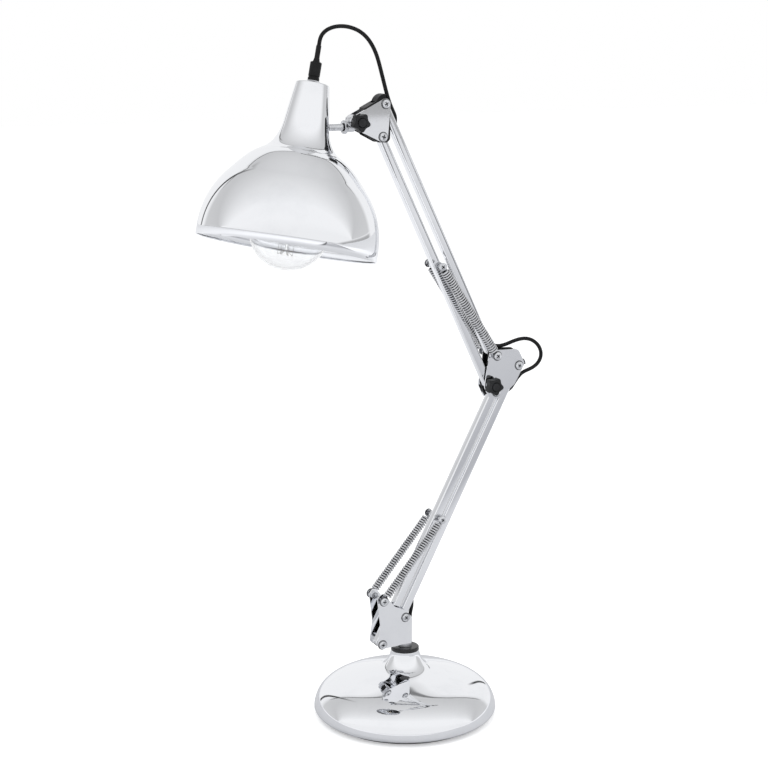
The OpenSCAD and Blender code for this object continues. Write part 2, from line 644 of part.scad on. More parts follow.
module nipple() color(steel) on_shade()
    ring_piece(nipple_foot, nipple_top, nipple_r, nipple_bore);

// Lamp holder and bulb, hung on the nipple
holder_r = 18.5;
holder_wall = 2;
insert_foot = holder_foot + 27;
insert_top = holder_foot + 30;
module holder_shell() color(black) on_shade() rotate_extrude()
    polygon([[nipple_r, holder_top], [9, holder_top], [14, holder_top - 3.5],
        [holder_r, holder_top - 9], [holder_r, holder_foot], [holder_r - holder_wall, holder_foot],
        [holder_r - holder_wall, insert_top], [13, holder_top - 5.5], [nipple_r, holder_top - 5.5]]);
module holder_sleeve() color(brass) on_shade() ring_piece(holder_foot + 2, insert_foot, 15.2, 14.4);
module holder_insert() color(ceramic) on_shade()
    ring_piece(insert_foot, insert_top, holder_r - holder_wall - tiny, 3);
globe_r = globe_d / 2;
globe_h = holder_foot - 9.8 - globe_r;
glass_wall = 0.9;
cap_foot = holder_foot + 3;
cap_top = holder_foot + 23;
cap_bore = 13.1;
module bulb_glass() color(glass) on_shade() {
    side = concat([[0.5, globe_h - globe_r]], arc([0, globe_h], globe_r, globe_r, -88, 62, 22),
        [[16.5, holder_foot - 12], [14.2, holder_foot - 7], [13.2, holder_foot - 2],
        [cap_bore - fit_play, cap_foot - 1], [cap_bore - fit_play, cap_foot + 4]]);
    rotate_extrude() polygon(concat([[0, globe_h - globe_r]], side,
        reversed(inset(side, glass_wall)), [[0, globe_h - globe_r + glass_wall]]));
}
module bulb_cap() color(brass) on_shade() rotate_extrude()
    polygon([[cap_bore, cap_foot], [14, cap_foot], [14, cap_top - 3], [10, cap_top],
        [4.5, cap_top + 1], [4.5, cap_top + 3], [0, cap_top + 3], [0, cap_top - 1],
        [9, cap_top - 1.2], [cap_bore, cap_top - 4]]);
module bulb_filament() color(glass) on_shade() {
    stem_foot = holder_foot - 20;
    wire_foot = holder_foot - 44;
    translate([0, 0, stem_foot]) cylinder(h = cap_top - stem_foot - 1.2, r = 3);
    for (side = [-1, 1]) {
        translate([side * 2, 0, wire_foot + 6]) cylinder(h = 20, r = 0.5);
        translate([side * 2 - 0.5, -0.5, wire_foot]) cube([1, 1, 6.5]);
    }
    translate([-2, -0.5, wire_foot]) cube([4, 1, 1]);
}

base_shell();
base_weight();
base_pad();
neck_bush();
bush_nut();
cord_gland();
base_cord();
base_bracket();
spindle();
spindle_clip();
base_bolts();
base_nuts();
base_spacers();
ear_screws();
lower_springs();
color(black)  // foot_cord
    cord_piece(foot_loop, lower_cord_start - lower_cord_path[1], [0, 0, -1]);
color(chrome)  // lower_left_tube
    tube(lower_left_foot, lower_left_top, pin_at = lower_pin_at);
color(black)  // lower_left_plugs
    plugs(lower_left_foot, lower_left_top);
lower_spring_pin();
color(chrome)  // lower_right_tube
    tube(lower_right_foot, lower_right_top, slots = lower_slots);
color(black)  // lower_right_plugs
    plugs(lower_right_foot, lower_right_top);
color(black)  // lower_cord
    cord_piece(lower_cord_path, lower_cord_path[1] - lower_cord_start, end_way(lower_cord_path));
elbow_plates();
elbow_core();
elbow_screws();
elbow_nuts();
spring_bolt();
color(steel) clamp_bolt(upper_left_foot, true);  // elbow_clamp_bolt
knob_washer(upper_left_foot);  // elbow_washer
upper_springs();
color(black)  // elbow_cord
    cord_piece(elbow_loop, upper_cord_start - upper_cord_path[1], -end_way(lower_cord_path));
knob(upper_left_foot);  // elbow_knob
color(chrome)  // upper_left_tube
    tube(upper_left_foot, upper_left_top, pin_at = upper_pin_at);
color(black)  // upper_left_plugs
    plugs(upper_left_foot, upper_left_top);
upper_spring_pin();
color(chrome)  // upper_right_tube
    tube(upper_right_foot, upper_right_top, slots = upper_slots);
color(black)  // upper_right_plugs
    plugs(upper_right_foot, upper_right_top);
color(black)  // upper_cord
    cord_piece(upper_cord_path, upper_cord_path[1] - upper_cord_start, end_way(upper_cord_path));
head_plates();
head_core();
head_screws();
head_nuts();
color(steel) clamp_bolt(tilt_pivot, false);  // head_clamp_bolt
knob_washer(tilt_pivot);  // head_washer
color(black)  // head_cord
    cord_piece(head_loop, shade_way(), -end_way(upper_cord_path));
knob(tilt_pivot);  // head_knob
knuckle();
rod_collar();
rod_nut();
shade();
cord_grip();
grip_washer();
shade_cord();
nipple();
holder_shell();
holder_sleeve();
holder_insert();
bulb_glass();
bulb_cap();
bulb_filament();
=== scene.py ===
# Desk lamp in polished chrome: the looks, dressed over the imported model.
# Metres throughout. The arm lies in the plane y = 0 and the head points to -x.
import json
import math

import bmesh
import bpy
import numpy as np
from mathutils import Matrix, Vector


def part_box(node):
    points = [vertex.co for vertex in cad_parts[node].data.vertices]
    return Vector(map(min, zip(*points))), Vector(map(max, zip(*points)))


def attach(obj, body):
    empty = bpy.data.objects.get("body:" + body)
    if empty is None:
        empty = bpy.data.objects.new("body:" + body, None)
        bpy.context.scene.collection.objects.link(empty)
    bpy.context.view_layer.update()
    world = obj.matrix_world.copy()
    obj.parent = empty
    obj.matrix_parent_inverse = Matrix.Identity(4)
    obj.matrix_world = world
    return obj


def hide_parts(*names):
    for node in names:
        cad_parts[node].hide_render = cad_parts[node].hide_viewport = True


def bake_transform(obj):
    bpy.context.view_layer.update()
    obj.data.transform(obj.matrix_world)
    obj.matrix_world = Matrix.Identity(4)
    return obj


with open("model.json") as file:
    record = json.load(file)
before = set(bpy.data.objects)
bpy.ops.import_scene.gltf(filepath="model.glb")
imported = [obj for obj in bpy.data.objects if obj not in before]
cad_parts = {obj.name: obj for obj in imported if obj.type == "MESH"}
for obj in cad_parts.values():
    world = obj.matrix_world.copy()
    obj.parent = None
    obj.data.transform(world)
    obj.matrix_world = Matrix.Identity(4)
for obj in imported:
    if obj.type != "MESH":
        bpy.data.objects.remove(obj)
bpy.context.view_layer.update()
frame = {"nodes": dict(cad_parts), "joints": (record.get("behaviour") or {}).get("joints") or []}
print("stage: frame loaded")

# Camera: the photograph's view, fitted to the lamp's own pivots
view = {
    "place": (-0.7949, -1.5947, 0.7335),
    "forward": (0.42557, 0.88064, -0.20824),
    "lens": 84.4,
    "sensor": 36,
    "reach": 50,
}


# The view's lens and place, looking forward with the picture's top up
def makeCamera():
    camera = bpy.data.objects.new("camera", bpy.data.cameras.new("camera"))
    bpy.context.scene.collection.objects.link(camera)
    camera.data.lens = view["lens"]
    camera.data.sensor_width = view["sensor"]
    camera.data.clip_end = view["reach"]
    camera.location = view["place"]
    camera.rotation_euler = Vector(view["forward"]).to_track_quat("-Z", "Y").to_euler()
    bpy.context.scene.camera = camera


makeCamera()

# Places taken from the model's joints
pivot = {j["name"]: np.array(j["pos_m"], float) for j in frame["joints"]}
lowerLeftFoot = pivot["lower_link"]
lowerRightFoot = pivot["lower_arm"]
lowerRightTop = pivot["elbow_level"]
lowerLeftTop = lowerLeftFoot + lowerRightTop - lowerRightFoot
upperLeftFoot = pivot["upper_link"]
upperRightFoot = pivot["upper_arm"]
upperRightTop = pivot["head_level"]
upperLeftTop = upperLeftFoot + upperRightTop - upperRightFoot
tiltPivot = pivot["head_tilt"]
armLength = float(np.linalg.norm(lowerRightTop - lowerRightFoot))
lowerWay = (lowerRightTop - lowerRightFoot) / armLength
upperWay = (upperRightTop - upperRightFoot) / armLength
xAxis, yAxis, zAxis = np.eye(3)

# The springs' pins: the ear's hole from the foot below it, and two just short of mid-tube
pinPlace = {"ear": (-0.0007, 0, 0.0484), "lowerShort": 0.0002, "upperShort": 0.0015}
earHole = lowerLeftFoot + pinPlace["ear"]
lowerPin = lowerLeftFoot + (armLength / 2 - pinPlace["lowerShort"]) * lowerWay
upperPin = upperLeftFoot + (armLength / 2 - pinPlace["upperShort"]) * upperWay
weldDistance = 2e-6


# A smooth-shaded piece from arrays: its points welded and its faces turned outward
def newPiece(name, points, faces, body, material, replaced=()):
    mesh = bpy.data.meshes.new(name)
    mesh.from_pydata(np.asarray(points, float).tolist(), [], faces)
    sheet = bmesh.new()
    sheet.from_mesh(mesh)
    bmesh.ops.remove_doubles(sheet, verts=sheet.verts, dist=weldDistance)
    bmesh.ops.recalc_face_normals(sheet, faces=sheet.faces)
    sheet.to_mesh(mesh)
    sheet.free()
    mesh.polygons.foreach_set("use_smooth", [True] * len(mesh.polygons))
    mesh.materials.append(material)
    piece = bpy.data.objects.new(name, mesh)
    bpy.context.scene.collection.objects.link(piece)
    if replaced:
        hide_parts(*replaced)
    if body:
        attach(piece, body)
    return piece


# Quads of a grid whose columns close on themselves, and its rows too if asked:
# point (i, j) has the number i . columns + j
def gridFaces(rows, columns, closedRows=False, start=0):
    i, j = np.meshgrid(np.arange(rows if closedRows else rows - 1), np.arange(columns),
                       indexing="ij")
    a = i * columns + j
    b = i * columns + (j + 1) % columns
    c = ((i + 1) % rows) * columns + (j + 1) % columns
    d = ((i + 1) % rows) * columns + j
    return (np.stack([a, b, c, d], -1).reshape(-1, 4) + start).tolist()


# A curve in steps, each of its points a blend of four neighbouring controls by their weights
def blended(controls, steps, weigh):
    p = np.asarray(controls, float)
    p = np.vstack([2 * p[0] - p[1], p, 2 * p[-1] - p[-2]])
    weights = weigh(np.linspace(0, 1, steps, endpoint=False)[:, None, None])
    curve = sum(w * p[k:len(p) - 3 + k][None] for k, w in enumerate(weights))
    curve = curve.transpose(1, 0, 2).reshape(-1, p.shape[1])
    return np.vstack([curve, p[-2][None]])


# Uniform cubic B-spline: smooth, through its first and last control only
def bSpline(controls, steps):
    return blended(controls, steps, lambda t: (
        (1 - t)**3 / 6, (3 * t**3 - 6 * t**2 + 4) / 6, (-3 * t**3 + 3 * t**2 + 3 * t + 1) / 6,
        t**3 / 6))


# Catmull-Rom: through every control, with a tangent along its neighbours
def throughPoints(controls, steps=6):
    return blended(controls, steps, lambda t: (
        (2 * t**2 - t - t**3) / 2, (2 - 5 * t**2 + 3 * t**3) / 2, (t + 4 * t**2 - 3 * t**3) / 2,
        (t**3 - t**2) / 2))


# A broken line whose corners [x, z, radius] become arcs tangent to both sides
def roundLine(corners, steps=5, closed=False):
    out = []
    count = len(corners)
    for k, (x, z, radius) in enumerate(corners):
        p = np.array([x, z], float)
        if radius == 0 or (not closed and k in (0, count - 1)):
            out.append(p[None])
            continue
        u = np.array(corners[k - 1][:2], float) - p
        w = np.array(corners[(k + 1) % count][:2], float) - p
        u, w = u / np.linalg.norm(u), w / np.linalg.norm(w)
        half = math.acos(np.clip(u @ w, -1, 1)) / 2
        middle = p + (u + w) / np.linalg.norm(u + w) * radius / math.sin(half)
        chord = np.linspace(0, 1, steps + 1)[:, None]
        line = p + u * radius / math.tan(half) * (1 - chord) + w * radius / math.tan(half) * chord
        way = line - middle
        out.append(middle + way / np.linalg.norm(way, axis=1)[:, None] * radius)
    return np.vstack(out)


# Turned shape: origin + radius (cos a . x + sin a . y) + height . z for each profile point
def turned(profile, segments=96, origin=(0, 0, 0), axes=(xAxis, yAxis, zAxis)):
    profile = np.asarray(profile, float)
    a = np.linspace(0, 2 * math.pi, segments, endpoint=False)
    r, h = profile[:, :1], profile[:, 1:2]
    x, y, z = axes
    ring = np.cos(a)[None, :, None] * x + np.sin(a)[None, :, None] * y
    points = np.asarray(origin) + r[:, :, None] * ring + h[:, :, None] * np.asarray(z)
    return points.reshape(-1, 3)


# A turned shape as a piece, closed on itself where its profile is a loop
def turnedPiece(name, profile, body, material, replaced=(), segments=96, origin=(0, 0, 0),
                axes=(xAxis, yAxis, zAxis), closed=False):
    points = turned(profile, segments, origin, axes)
    faces = gridFaces(len(profile), segments, closedRows=closed)
    return newPiece(name, points, faces, body, material, replaced)


# Path normals carried along without twist: each is the last one made square to the new way
def pathFrames(path, side):
    path = np.asarray(path, float)
    way = np.gradient(path, axis=0)
    way /= np.linalg.norm(way, axis=1)[:, None]
    first = np.empty_like(way)
    last = np.asarray(side, float)
    for k, w in enumerate(way):
        last = last - (last @ w) * w
        last = last / np.linalg.norm(last)
        first[k] = last
    return first, np.cross(way, first)


# Faces of a closed tube: the grid's quads and a cap on each end ring
def tubeFaces(rows, sides):
    last = (rows - 1) * sides
    return gridFaces(rows, sides) + [list(range(sides))[::-1], list(range(last, last + sides))]


# Round tube along a path: centre + r (cos a . first + sin a . second)
def roundTube(path, radius, sides, side=(0, 1, 0)):
    first, second = pathFrames(path, side)
    a = np.linspace(0, 2 * math.pi, sides, endpoint=False)
    ring = np.cos(a)[None, :, None] * first[:, None] + np.sin(a)[None, :, None] * second[:, None]
    points = (np.asarray(path)[:, None] + radius * ring).reshape(-1, 3)
    return points, tubeFaces(len(path), sides)


# Several parts as one mesh: each part's face numbers move past the points before it
def joinParts(parts):
    points, faces, start = [], [], 0
    for p, f in parts:
        points.append(np.asarray(p, float))
        faces += [[i + start for i in face] for face in f]
        start += len(p)
    return np.vstack(points), faces


# Shader maths: a wrapped socket whose operators add Math nodes
class Value:
    def __init__(self, sheet, socket):
        self.sheet, self.socket = sheet, socket

    def math(self, operation, other=None, swap=False):
        ins = [self] if other is None else ([other, self] if swap else [self, other])
        return self.sheet.add("ShaderNodeMath", {"operation": operation}, *ins)

    def __add__(self, other):
        return self.math("ADD", other)

    def __sub__(self, other):
        return self.math("SUBTRACT", other)

    def __mul__(self, other):
        return self.math("MULTIPLY", other)

    def __truediv__(self, other):
        return self.math("DIVIDE", other)

    def __radd__(self, other):
        return self.math("ADD", other, True)

    def __rsub__(self, other):
        return self.math("SUBTRACT", other, True)

    def __rmul__(self, other):
        return self.math("MULTIPLY", other, True)


# A node tree that grows by one call: add sets any node's settings and links its inputs
class Sheet:
    def __init__(self, tree):
        self.tree = tree

    def put(self, socket, value):
        if isinstance(value, Value):
            self.tree.links.new(value.socket, socket)
        else:
            socket.default_value = value

    def add(self, kind, settings, *inputs, out=0, **named):
        node = self.tree.nodes.new(kind)
        for key, value in settings.items():
            if key == "stops":
                ramp = node.color_ramp
                while len(ramp.elements) < len(value):
                    ramp.elements.new(0.5)
                for element, (place, shade) in zip(ramp.elements, value):
                    element.position = place
                    element.color = colour(shade, shade, shade)
            else:
                setattr(node, key, value)
        for k, value in enumerate(inputs):
            if value is not None:
                self.put(node.inputs[k], value)
        for key, value in named.items():
            self.put(node.inputs[key.replace("_", " ")], value)
        return Value(self, node.outputs[out])

    def place(self):
        return self.add("ShaderNodeTexCoord", {}, out=3)

    def noise(self, scale, detail=3.0, roughness=0.5, stretch=(1, 1, 1)):
        where = self.add("ShaderNodeMapping", {}, self.place(), Scale=stretch)
        return self.add("ShaderNodeTexNoise", {}, Vector=where, Scale=scale, Detail=detail,
                        Roughness=roughness)

    # colours are the mix node's inputs 6 and 7, and its output 2
    def mix(self, factor, a, b):
        return self.add("ShaderNodeMix", {"data_type": "RGBA"}, factor, *(None,) * 5, a, b, out=2)

    # 0 at low, 1 at high, a straight line between
    def spread(self, value, low, high):
        return self.add("ShaderNodeMapRange", {}, value, low, high, 0.0, 1.0)

    def ramp(self, value, stops):
        return self.add("ShaderNodeValToRGB", {"stops": stops}, value)

    def distance(self, where):
        return self.add("ShaderNodeVectorMath", {"operation": "LENGTH"}, where, out=1)

    def along(self, where, way):
        return self.add("ShaderNodeVectorMath", {"operation": "DOT_PRODUCT"}, where, way, out=1)


# Red, green and blue with full alpha
def colour(r, g, b):
    return (r, g, b, 1.0)


# One finish: constants go on the shader's sockets, and build adds what varies
def finish(name, build=None, **fixed):
    material = bpy.data.materials.new(name)
    material.use_nodes = True
    tree = material.node_tree
    shader = tree.nodes["Principled BSDF"]
    for key, value in fixed.items():
        shader.inputs[key.replace("_", " ")].default_value = value
    if build:
        sheet = Sheet(tree)
        for key, value in build(sheet).items():
            sheet.put(shader.inputs[key.replace("_", " ")], value)
    return material


# The surface's normal tipped by the slope of a height
def bump(sheet, height, strength, distance):
    return sheet.add("ShaderNodeBump", {}, Strength=strength, Distance=distance, Height=height)


# In each look below, a noise is its scale, detail and roughness, "from" is where a spread
# starts and is full, and a bump is its strength and distance
chromeLook = {
    "bright": colour(0.885, 0.892, 0.910),
    "dull": colour(0.78, 0.79, 0.815),
    "rough": 0.035,
    "smudgeNoise": (22.0, 5.0, 0.62),
    "smudgeFrom": (0.52, 0.78),
    "smudgeShare": 0.55,
    "smudgeRough": 0.10,
    "hairNoise": (900.0, 2.0, 0.5),
    "hairFrom": (0.55, 0.8),
    "hairRough": 0.03,
    "hairBump": (0.03, 0.00002),
}


# Plated steel: soft smudges cloud the polish, with hairlines in the finest bump
def chromeBuild(hairWay):
    def build(s):
        look = chromeLook
        smudges = s.spread(s.noise(*look["smudgeNoise"]), *look["smudgeFrom"])
        hairs = s.noise(*look["hairNoise"], hairWay)
        return {
            "Base_Color": s.mix(smudges * look["smudgeShare"], look["bright"], look["dull"]),
            "Roughness": look["rough"] + smudges * look["smudgeRough"]
            + s.spread(hairs, *look["hairFrom"]) * look["hairRough"],
            "Normal": bump(s, hairs, *look["hairBump"]),
        }
    return build


wornLook = {
    "metal": {"grain": (4.0, 0.6), "grainRough": 0.16, "bump": (0.12, 0.00003),
              "wear": (160.0, 4.0, 0.6), "wearFrom": (0.45, 0.75), "wearShare": 0.7,
              "wearRough": 0.08},
    "plastic": {"grain": (3.0, 0.6), "grainRough": 0.06, "bump": (0.22, 0.00006),
                "wear": (70.0, 4.0, 0.6), "wearFrom": (0.5, 0.72), "wearShare": 0.6,
                "wearRough": -0.13},
}


# Turned metal and moulded plastic: a fine grain, and a wider noise of stains or rubbed places
def wornBuild(kind, base, dull, rough, scale, way=(1, 1, 1)):
    def build(s):
        look = wornLook[kind]
        grain = s.noise(scale, *look["grain"], way)
        wear = s.spread(s.noise(*look["wear"]), *look["wearFrom"])
        return {
            "Base_Color": s.mix(wear * look["wearShare"], colour(*base), colour(*dull)),
            "Roughness": rough + wear * look["wearRough"] + grain * look["grainRough"],
            "Normal": bump(s, grain, *look["bump"]),
        }
    return build


glassLook = {"tint": colour(0.945, 0.95, 0.955), "bend": 1.46, "markNoise": (60.0, 4.0, 0.6),
             "markFrom": (0.62, 0.8), "markRough": 0.035}


# Clear blown glass: hardly any colour, faint finger marks in the roughness
def glassBuild(s):
    marks = s.spread(s.noise(*glassLook["markNoise"]), *glassLook["markFrom"])
    return {"Roughness": marks * glassLook["markRough"]}


ironLook = {"noise": (260.0, 6.0, 0.7), "dark": colour(0.045, 0.045, 0.048),
            "light": colour(0.12, 0.115, 0.11), "rough": 0.55, "grainRough": 0.25,
            "bump": (0.5, 0.0004)}


# Cast iron: one coarse noise gives the colour, the roughness and the bump
def ironBuild(s):
    look = ironLook
    grain = s.noise(*look["noise"])
    return {
        "Base_Color": s.mix(grain, look["dark"], look["light"]),
        "Roughness": look["rough"] + grain * look["grainRough"],
        "Normal": bump(s, grain, *look["bump"]),
    }


feltLook = {"noise": (1400.0, 5.0, 0.75), "dark": colour(0.012, 0.012, 0.013),
            "light": colour(0.05, 0.05, 0.052), "rough": 0.95, "bump": (0.6, 0.0003)}


# Felt: fibres of a fine noise in the colour and the bump
def feltBuild(s):
    fibres = s.noise(*feltLook["noise"])
    return {
        "Base_Color": s.mix(fibres, feltLook["dark"], feltLook["light"]),
        "Normal": bump(s, fibres, *feltLook["bump"]),
    }


# Kind, colour, worn colour, roughness, the grain's scale and, for some, its stretch
finishLook = {
    "platedScrew": ("metal", (0.70, 0.71, 0.73), (0.30, 0.30, 0.32), 0.10, 500.0),
    "springWire": ("metal", (0.66, 0.665, 0.68), (0.30, 0.30, 0.315), 0.14, 700.0),
    # painted shade: near-black for coil crevices and screw pits, and for joint lines deepened with
    # painted shade
    "oiledRecess": ("metal", (0.035, 0.035, 0.037), (0.015, 0.015, 0.016), 0.40, 600.0),
    "turnedSteel": ("metal", (0.62, 0.63, 0.65), (0.36, 0.36, 0.38), 0.22, 300.0, (1, 1, 6)),
    "brassThread": ("metal", (0.78, 0.58, 0.28), (0.45, 0.31, 0.14), 0.22, 300.0, (1, 1, 4)),
    "tungsten": ("metal", (0.30, 0.29, 0.28), (0.12, 0.11, 0.11), 0.35, 900.0),
    "blackMoulding": ("plastic", (0.004, 0.004, 0.0045), (0.012, 0.012, 0.013), 0.40, 1500.0),
    "glossMoulding": ("plastic", (0.004, 0.004, 0.0045), (0.010, 0.010, 0.011), 0.22, 1500.0),
    "charcoalKnob": ("plastic", (0.009, 0.0095, 0.0105), (0.022, 0.023, 0.025), 0.48, 1100.0),
    "cordSheath": ("plastic", (0.004, 0.004, 0.0045), (0.012, 0.012, 0.013), 0.50, 2200.0),
    "glazedCeramic": ("plastic", (0.80, 0.78, 0.72), (0.70, 0.67, 0.60), 0.30, 700.0),
}


# A finish of the list, with its constant sockets
def worn(name, **fixed):
    return finish(name, wornBuild(*finishLook[name]), **fixed)


chrome = finish("polishedChrome", chromeBuild((1, 1, 1)), Metallic=1.0)
tubeChrome = finish("drawnChrome", chromeBuild((1, 1, 0.15)), Metallic=1.0)
screwSteel = worn("platedScrew", Metallic=1.0)
springSteel = worn("springWire", Metallic=1.0)
# painted shade in coil crevices, screw pits and along joint lines
jointLineAndPaintedShade = worn("oiledRecess", Metallic=0.6)
turnedSteel = worn("turnedSteel", Metallic=1.0)
brass = worn("brassThread", Metallic=1.0)
blackPlastic = worn("blackMoulding", Specular_IOR_Level=0.22)
glossPlastic = worn("glossMoulding")
knobPlastic = worn("charcoalKnob", Specular_IOR_Level=0.25)
cordSheath = worn("cordSheath", Specular_IOR_Level=0.2)
ceramic = worn("glazedCeramic", Coat_Weight=0.4)
castIron = finish("castIron", ironBuild)
felt = finish("feltPad", feltBuild, Roughness=feltLook["rough"])
clearGlass = finish("clearGlass", glassBuild, Base_Color=glassLook["tint"], IOR=glassLook["bend"],
                    Transmission_Weight=1.0)
tungsten = worn("tungsten", Metallic=1.0)
print("stage: finishes made")

# Cords: the stretches' own points, as the model's cords follow them. Heights in the shade
# count from its rim, and the spindle's cord ends at the given height.
cordLook = {"diameter": 0.0039, "sides": 20, "steps": 4, "nippleFoot": 0.102, "gripTop": 0.198,
            "spindleTop": 0.0818, "footEnds": (0.0834, 0.0819), "headSplits": (5, 10),
            "elbowSplits": (7,)}


# In the arm's plane, square to a way that lies in it
def squareInPlane(way):
    return np.array([way[2], 0, -way[0]])


# Points of a tube, each foot + along . way + away . side
def tubeRun(foot, way, stations):
    return np.array([foot + along * way + away * squareInPlane(way) for away, along in stations])


lowerRun = tubeRun(lowerRightFoot, lowerWay, [
    (0.0084, 0.008), (0.0075, 0.0118), (0.0052, 0.0166), (0.0022, 0.0224), (0.0004, 0.029),
    (0, 0.037), (0, armLength / 2), (0, armLength - 0.043), (0.0012, armLength - 0.0355),
    (0.0044, armLength - 0.0286), (0.0068, armLength - 0.024), (0.0076, armLength - 0.02)])
upperRun = tubeRun(upperRightFoot, upperWay, [
    (0.0086, 0.0044), (0.0062, 0.0064), (0.0034, 0.0102), (0.0008, 0.016), (0, 0.022),
    (0, armLength / 2), (0, armLength - 0.037), (0.0012, armLength - 0.0296),
    (0.0042, armLength - 0.0228), (0.0063, armLength - 0.0182), (0.0069, armLength - 0.014)])

# The shade's own frame: its axis leans over the rod, and the rim lies at height 0
shadeFrame = {"reach": 0.0511, "rodDrop": 0.0048, "rodHeight": 0.11658, "tip": 13.1,
              "roll": 5.97}
shadeX0 = tiltPivot[0] - shadeFrame["reach"]
rodZ = tiltPivot[2] - shadeFrame["rodDrop"]
tipAngle, rollAngle = math.radians(shadeFrame["tip"]), math.radians(shadeFrame["roll"])
shadeZ = np.array([math.sin(tipAngle), math.cos(tipAngle) * math.sin(rollAngle),
                   math.cos(tipAngle) * math.cos(rollAngle)])
shadeX = np.array([math.cos(tipAngle), -math.sin(tipAngle) * math.sin(rollAngle),
                   -math.sin(tipAngle) * math.cos(rollAngle)])
shadeY = np.cross(shadeZ, shadeX)
rimCentre = np.array([shadeX0, 0, rodZ]) - shadeFrame["rodHeight"] * shadeZ
onShade = {"origin": rimCentre, "axes": (shadeX, shadeY, shadeZ)}


# Points given from a pivot
def fromPivot(at, points):
    return at + np.array(points, float)


headLoop = np.vstack([rimCentre + cordLook["gripTop"] * shadeZ, fromPivot(upperRightTop, [
    [-0.0616, 0.0091, 0.0645], [-0.0562, 0.009, 0.0703], [-0.0477, 0.0082, 0.0737],
    [-0.0377, 0.007, 0.0743], [-0.0277, 0.0056, 0.0721], [-0.0182, 0.0042, 0.067],
    [-0.0107, 0.0028, 0.058], [-0.0055, 0.0016, 0.047], [-0.0023, 0.0008, 0.035],
    [0.001, 0.0002, 0.022], [0.0045, 0, 0.009], [0.0079, 0, -0.001]]), upperRun[-1]])
elbowLoop = np.vstack([upperRun[0], fromPivot(lowerRightTop, [
    [-0.0196, 0, 0.0207], [-0.0126, 0, 0.0216], [-0.0044, 0, 0.0242], [0.004, 0, 0.0263],
    [0.0124, 0, 0.0265], [0.0208, 0, 0.0237], [0.0282, 0, 0.0172], [0.0314, 0, 0.009],
    [0.0297, 0, 0.0016], [0.0238, 0, -0.0045], [0.0154, 0, -0.0073], [0.0078, 0, -0.0095],
    [0.002, 0, -0.0151]]), lowerRun[-1]])
footLoop = np.vstack([lowerRun[0], fromPivot(lowerRightFoot, [
    [0.0104, 0, -0.0015], [0.0101, 0, -0.006], [0.0107, 0, -0.0105], [0.0103, 0, -0.0154],
    [0.0081, 0, -0.0202], [0.0054, 0, -0.0244]]), [[0, 0, z] for z in cordLook["footEnds"]]])
baseRun = np.array([
    [0, 0, cordLook["spindleTop"]], [0, 0, 0.04], [0, 0, 0.019], [0.0009, 0, 0.0159],
    [0.0033, 0, 0.0135], [0.007, 0, 0.0122], [0.012, 0, 0.012], [0.05, 0, 0.012],
    [0.0901, 0, 0.012]])


# A round tube of the cord's diameter along a path
def cordPiece(name, path, replaced, body=None):
    mesh = roundTube(path, cordLook["diameter"] / 2, cordLook["sides"])
    piece = newPiece(name, *mesh, body, cordSheath, replaced)
    return piece


# A stretch of cord between two jointed bodies, on no body, its placement baked into its points
def freeCord(name, path, replaced):
    piece = cordPiece(name, path, (replaced,))
    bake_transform(piece)


# A loop past several joints is one curve in stretches, each between two jointed bodies
def splitLoop(route, *places):
    path = bSpline(route, cordLook["steps"])
    marks = [0] + [place * cordLook["steps"] for place in places] + [len(path) - 1]
    return [path[a:b + 1] for a, b in zip(marks, marks[1:])]


headFirst, headSecond, headThird = splitLoop(headLoop, *cordLook["headSplits"])
elbowFirst, elbowSecond = splitLoop(elbowLoop, *cordLook["elbowSplits"])
footWhole, = splitLoop(footLoop)
freeCord("cordElbowUpper", elbowFirst, "elbow_cord")
freeCord("cordElbowLower", elbowSecond, "elbow_cord")
freeCord("cordFoot", footWhole, "foot_cord")
freeCord("cordHeadUpper", headFirst, "head_cord")
freeCord("cordHeadMiddle", headSecond, "head_cord")
freeCord("cordHeadLower", headThird, "head_cord")
cordPiece("cordInUpperTube", throughPoints(upperRun), ("upper_cord",), "upper_arm")
cordPiece("cordInLowerTube", throughPoints(lowerRun), ("lower_cord",), "lower_arm")
cordPiece("cordInBase", throughPoints(baseRun), ("base_cord",), "base")
neckRun = np.linspace(cordLook["nippleFoot"], cordLook["gripTop"], 9)
cordPiece("cordInShade", rimCentre + neckRun[:, None] * shadeZ, ("shade_cord",), "shade")
print("stage: cords laid")

# Base: a spun cover whose flank, shoulder and neck are one smooth line
baseLook = {"wall": 0.0012, "segments": 256}
discLook = {"radius": 0.0146, "edge": 0.0007, "thick": 0.0038, "barrel": 0.012,
            "barrelLong": 0.01, "bore": 0.005, "dish": 0.0072, "sunk": 0.0006}


# Radius and height: a quarter turn under the rim, then one spline up the flank and the neck
def coverLine():
    t = np.radians(np.linspace(-90, -6, 22))
    foot = np.stack([0.0795 + 0.0155 * np.cos(t), 0.0112 + 0.0087 * np.sin(t)], -1)
    side = bSpline([(0.095, 0.0104), (0.095, 0.0122), (0.0944, 0.0165), (0.0915, 0.025),
                    (0.0845, 0.0328), (0.074, 0.0386), (0.062, 0.0424), (0.05, 0.0458),
                    (0.039, 0.0489), (0.03, 0.0512), (0.024, 0.0533), (0.0203, 0.0565),
                    (0.0176, 0.0612), (0.0158, 0.0658), (0.015, 0.069), (0.015, 0.0715)], 7)
    return np.vstack([[(0.0762, 0.0025)], foot, side])


# A profile and the same one a wall's thickness to its left, walked back: out and in of a sheet
def sheetLine(line, wall):
    way = np.gradient(line, axis=0)
    way /= np.linalg.norm(way, axis=1)[:, None]
    inner = line + wall * np.stack([-way[:, 1], way[:, 0]], -1)
    return np.vstack([line, inner[::-1]])


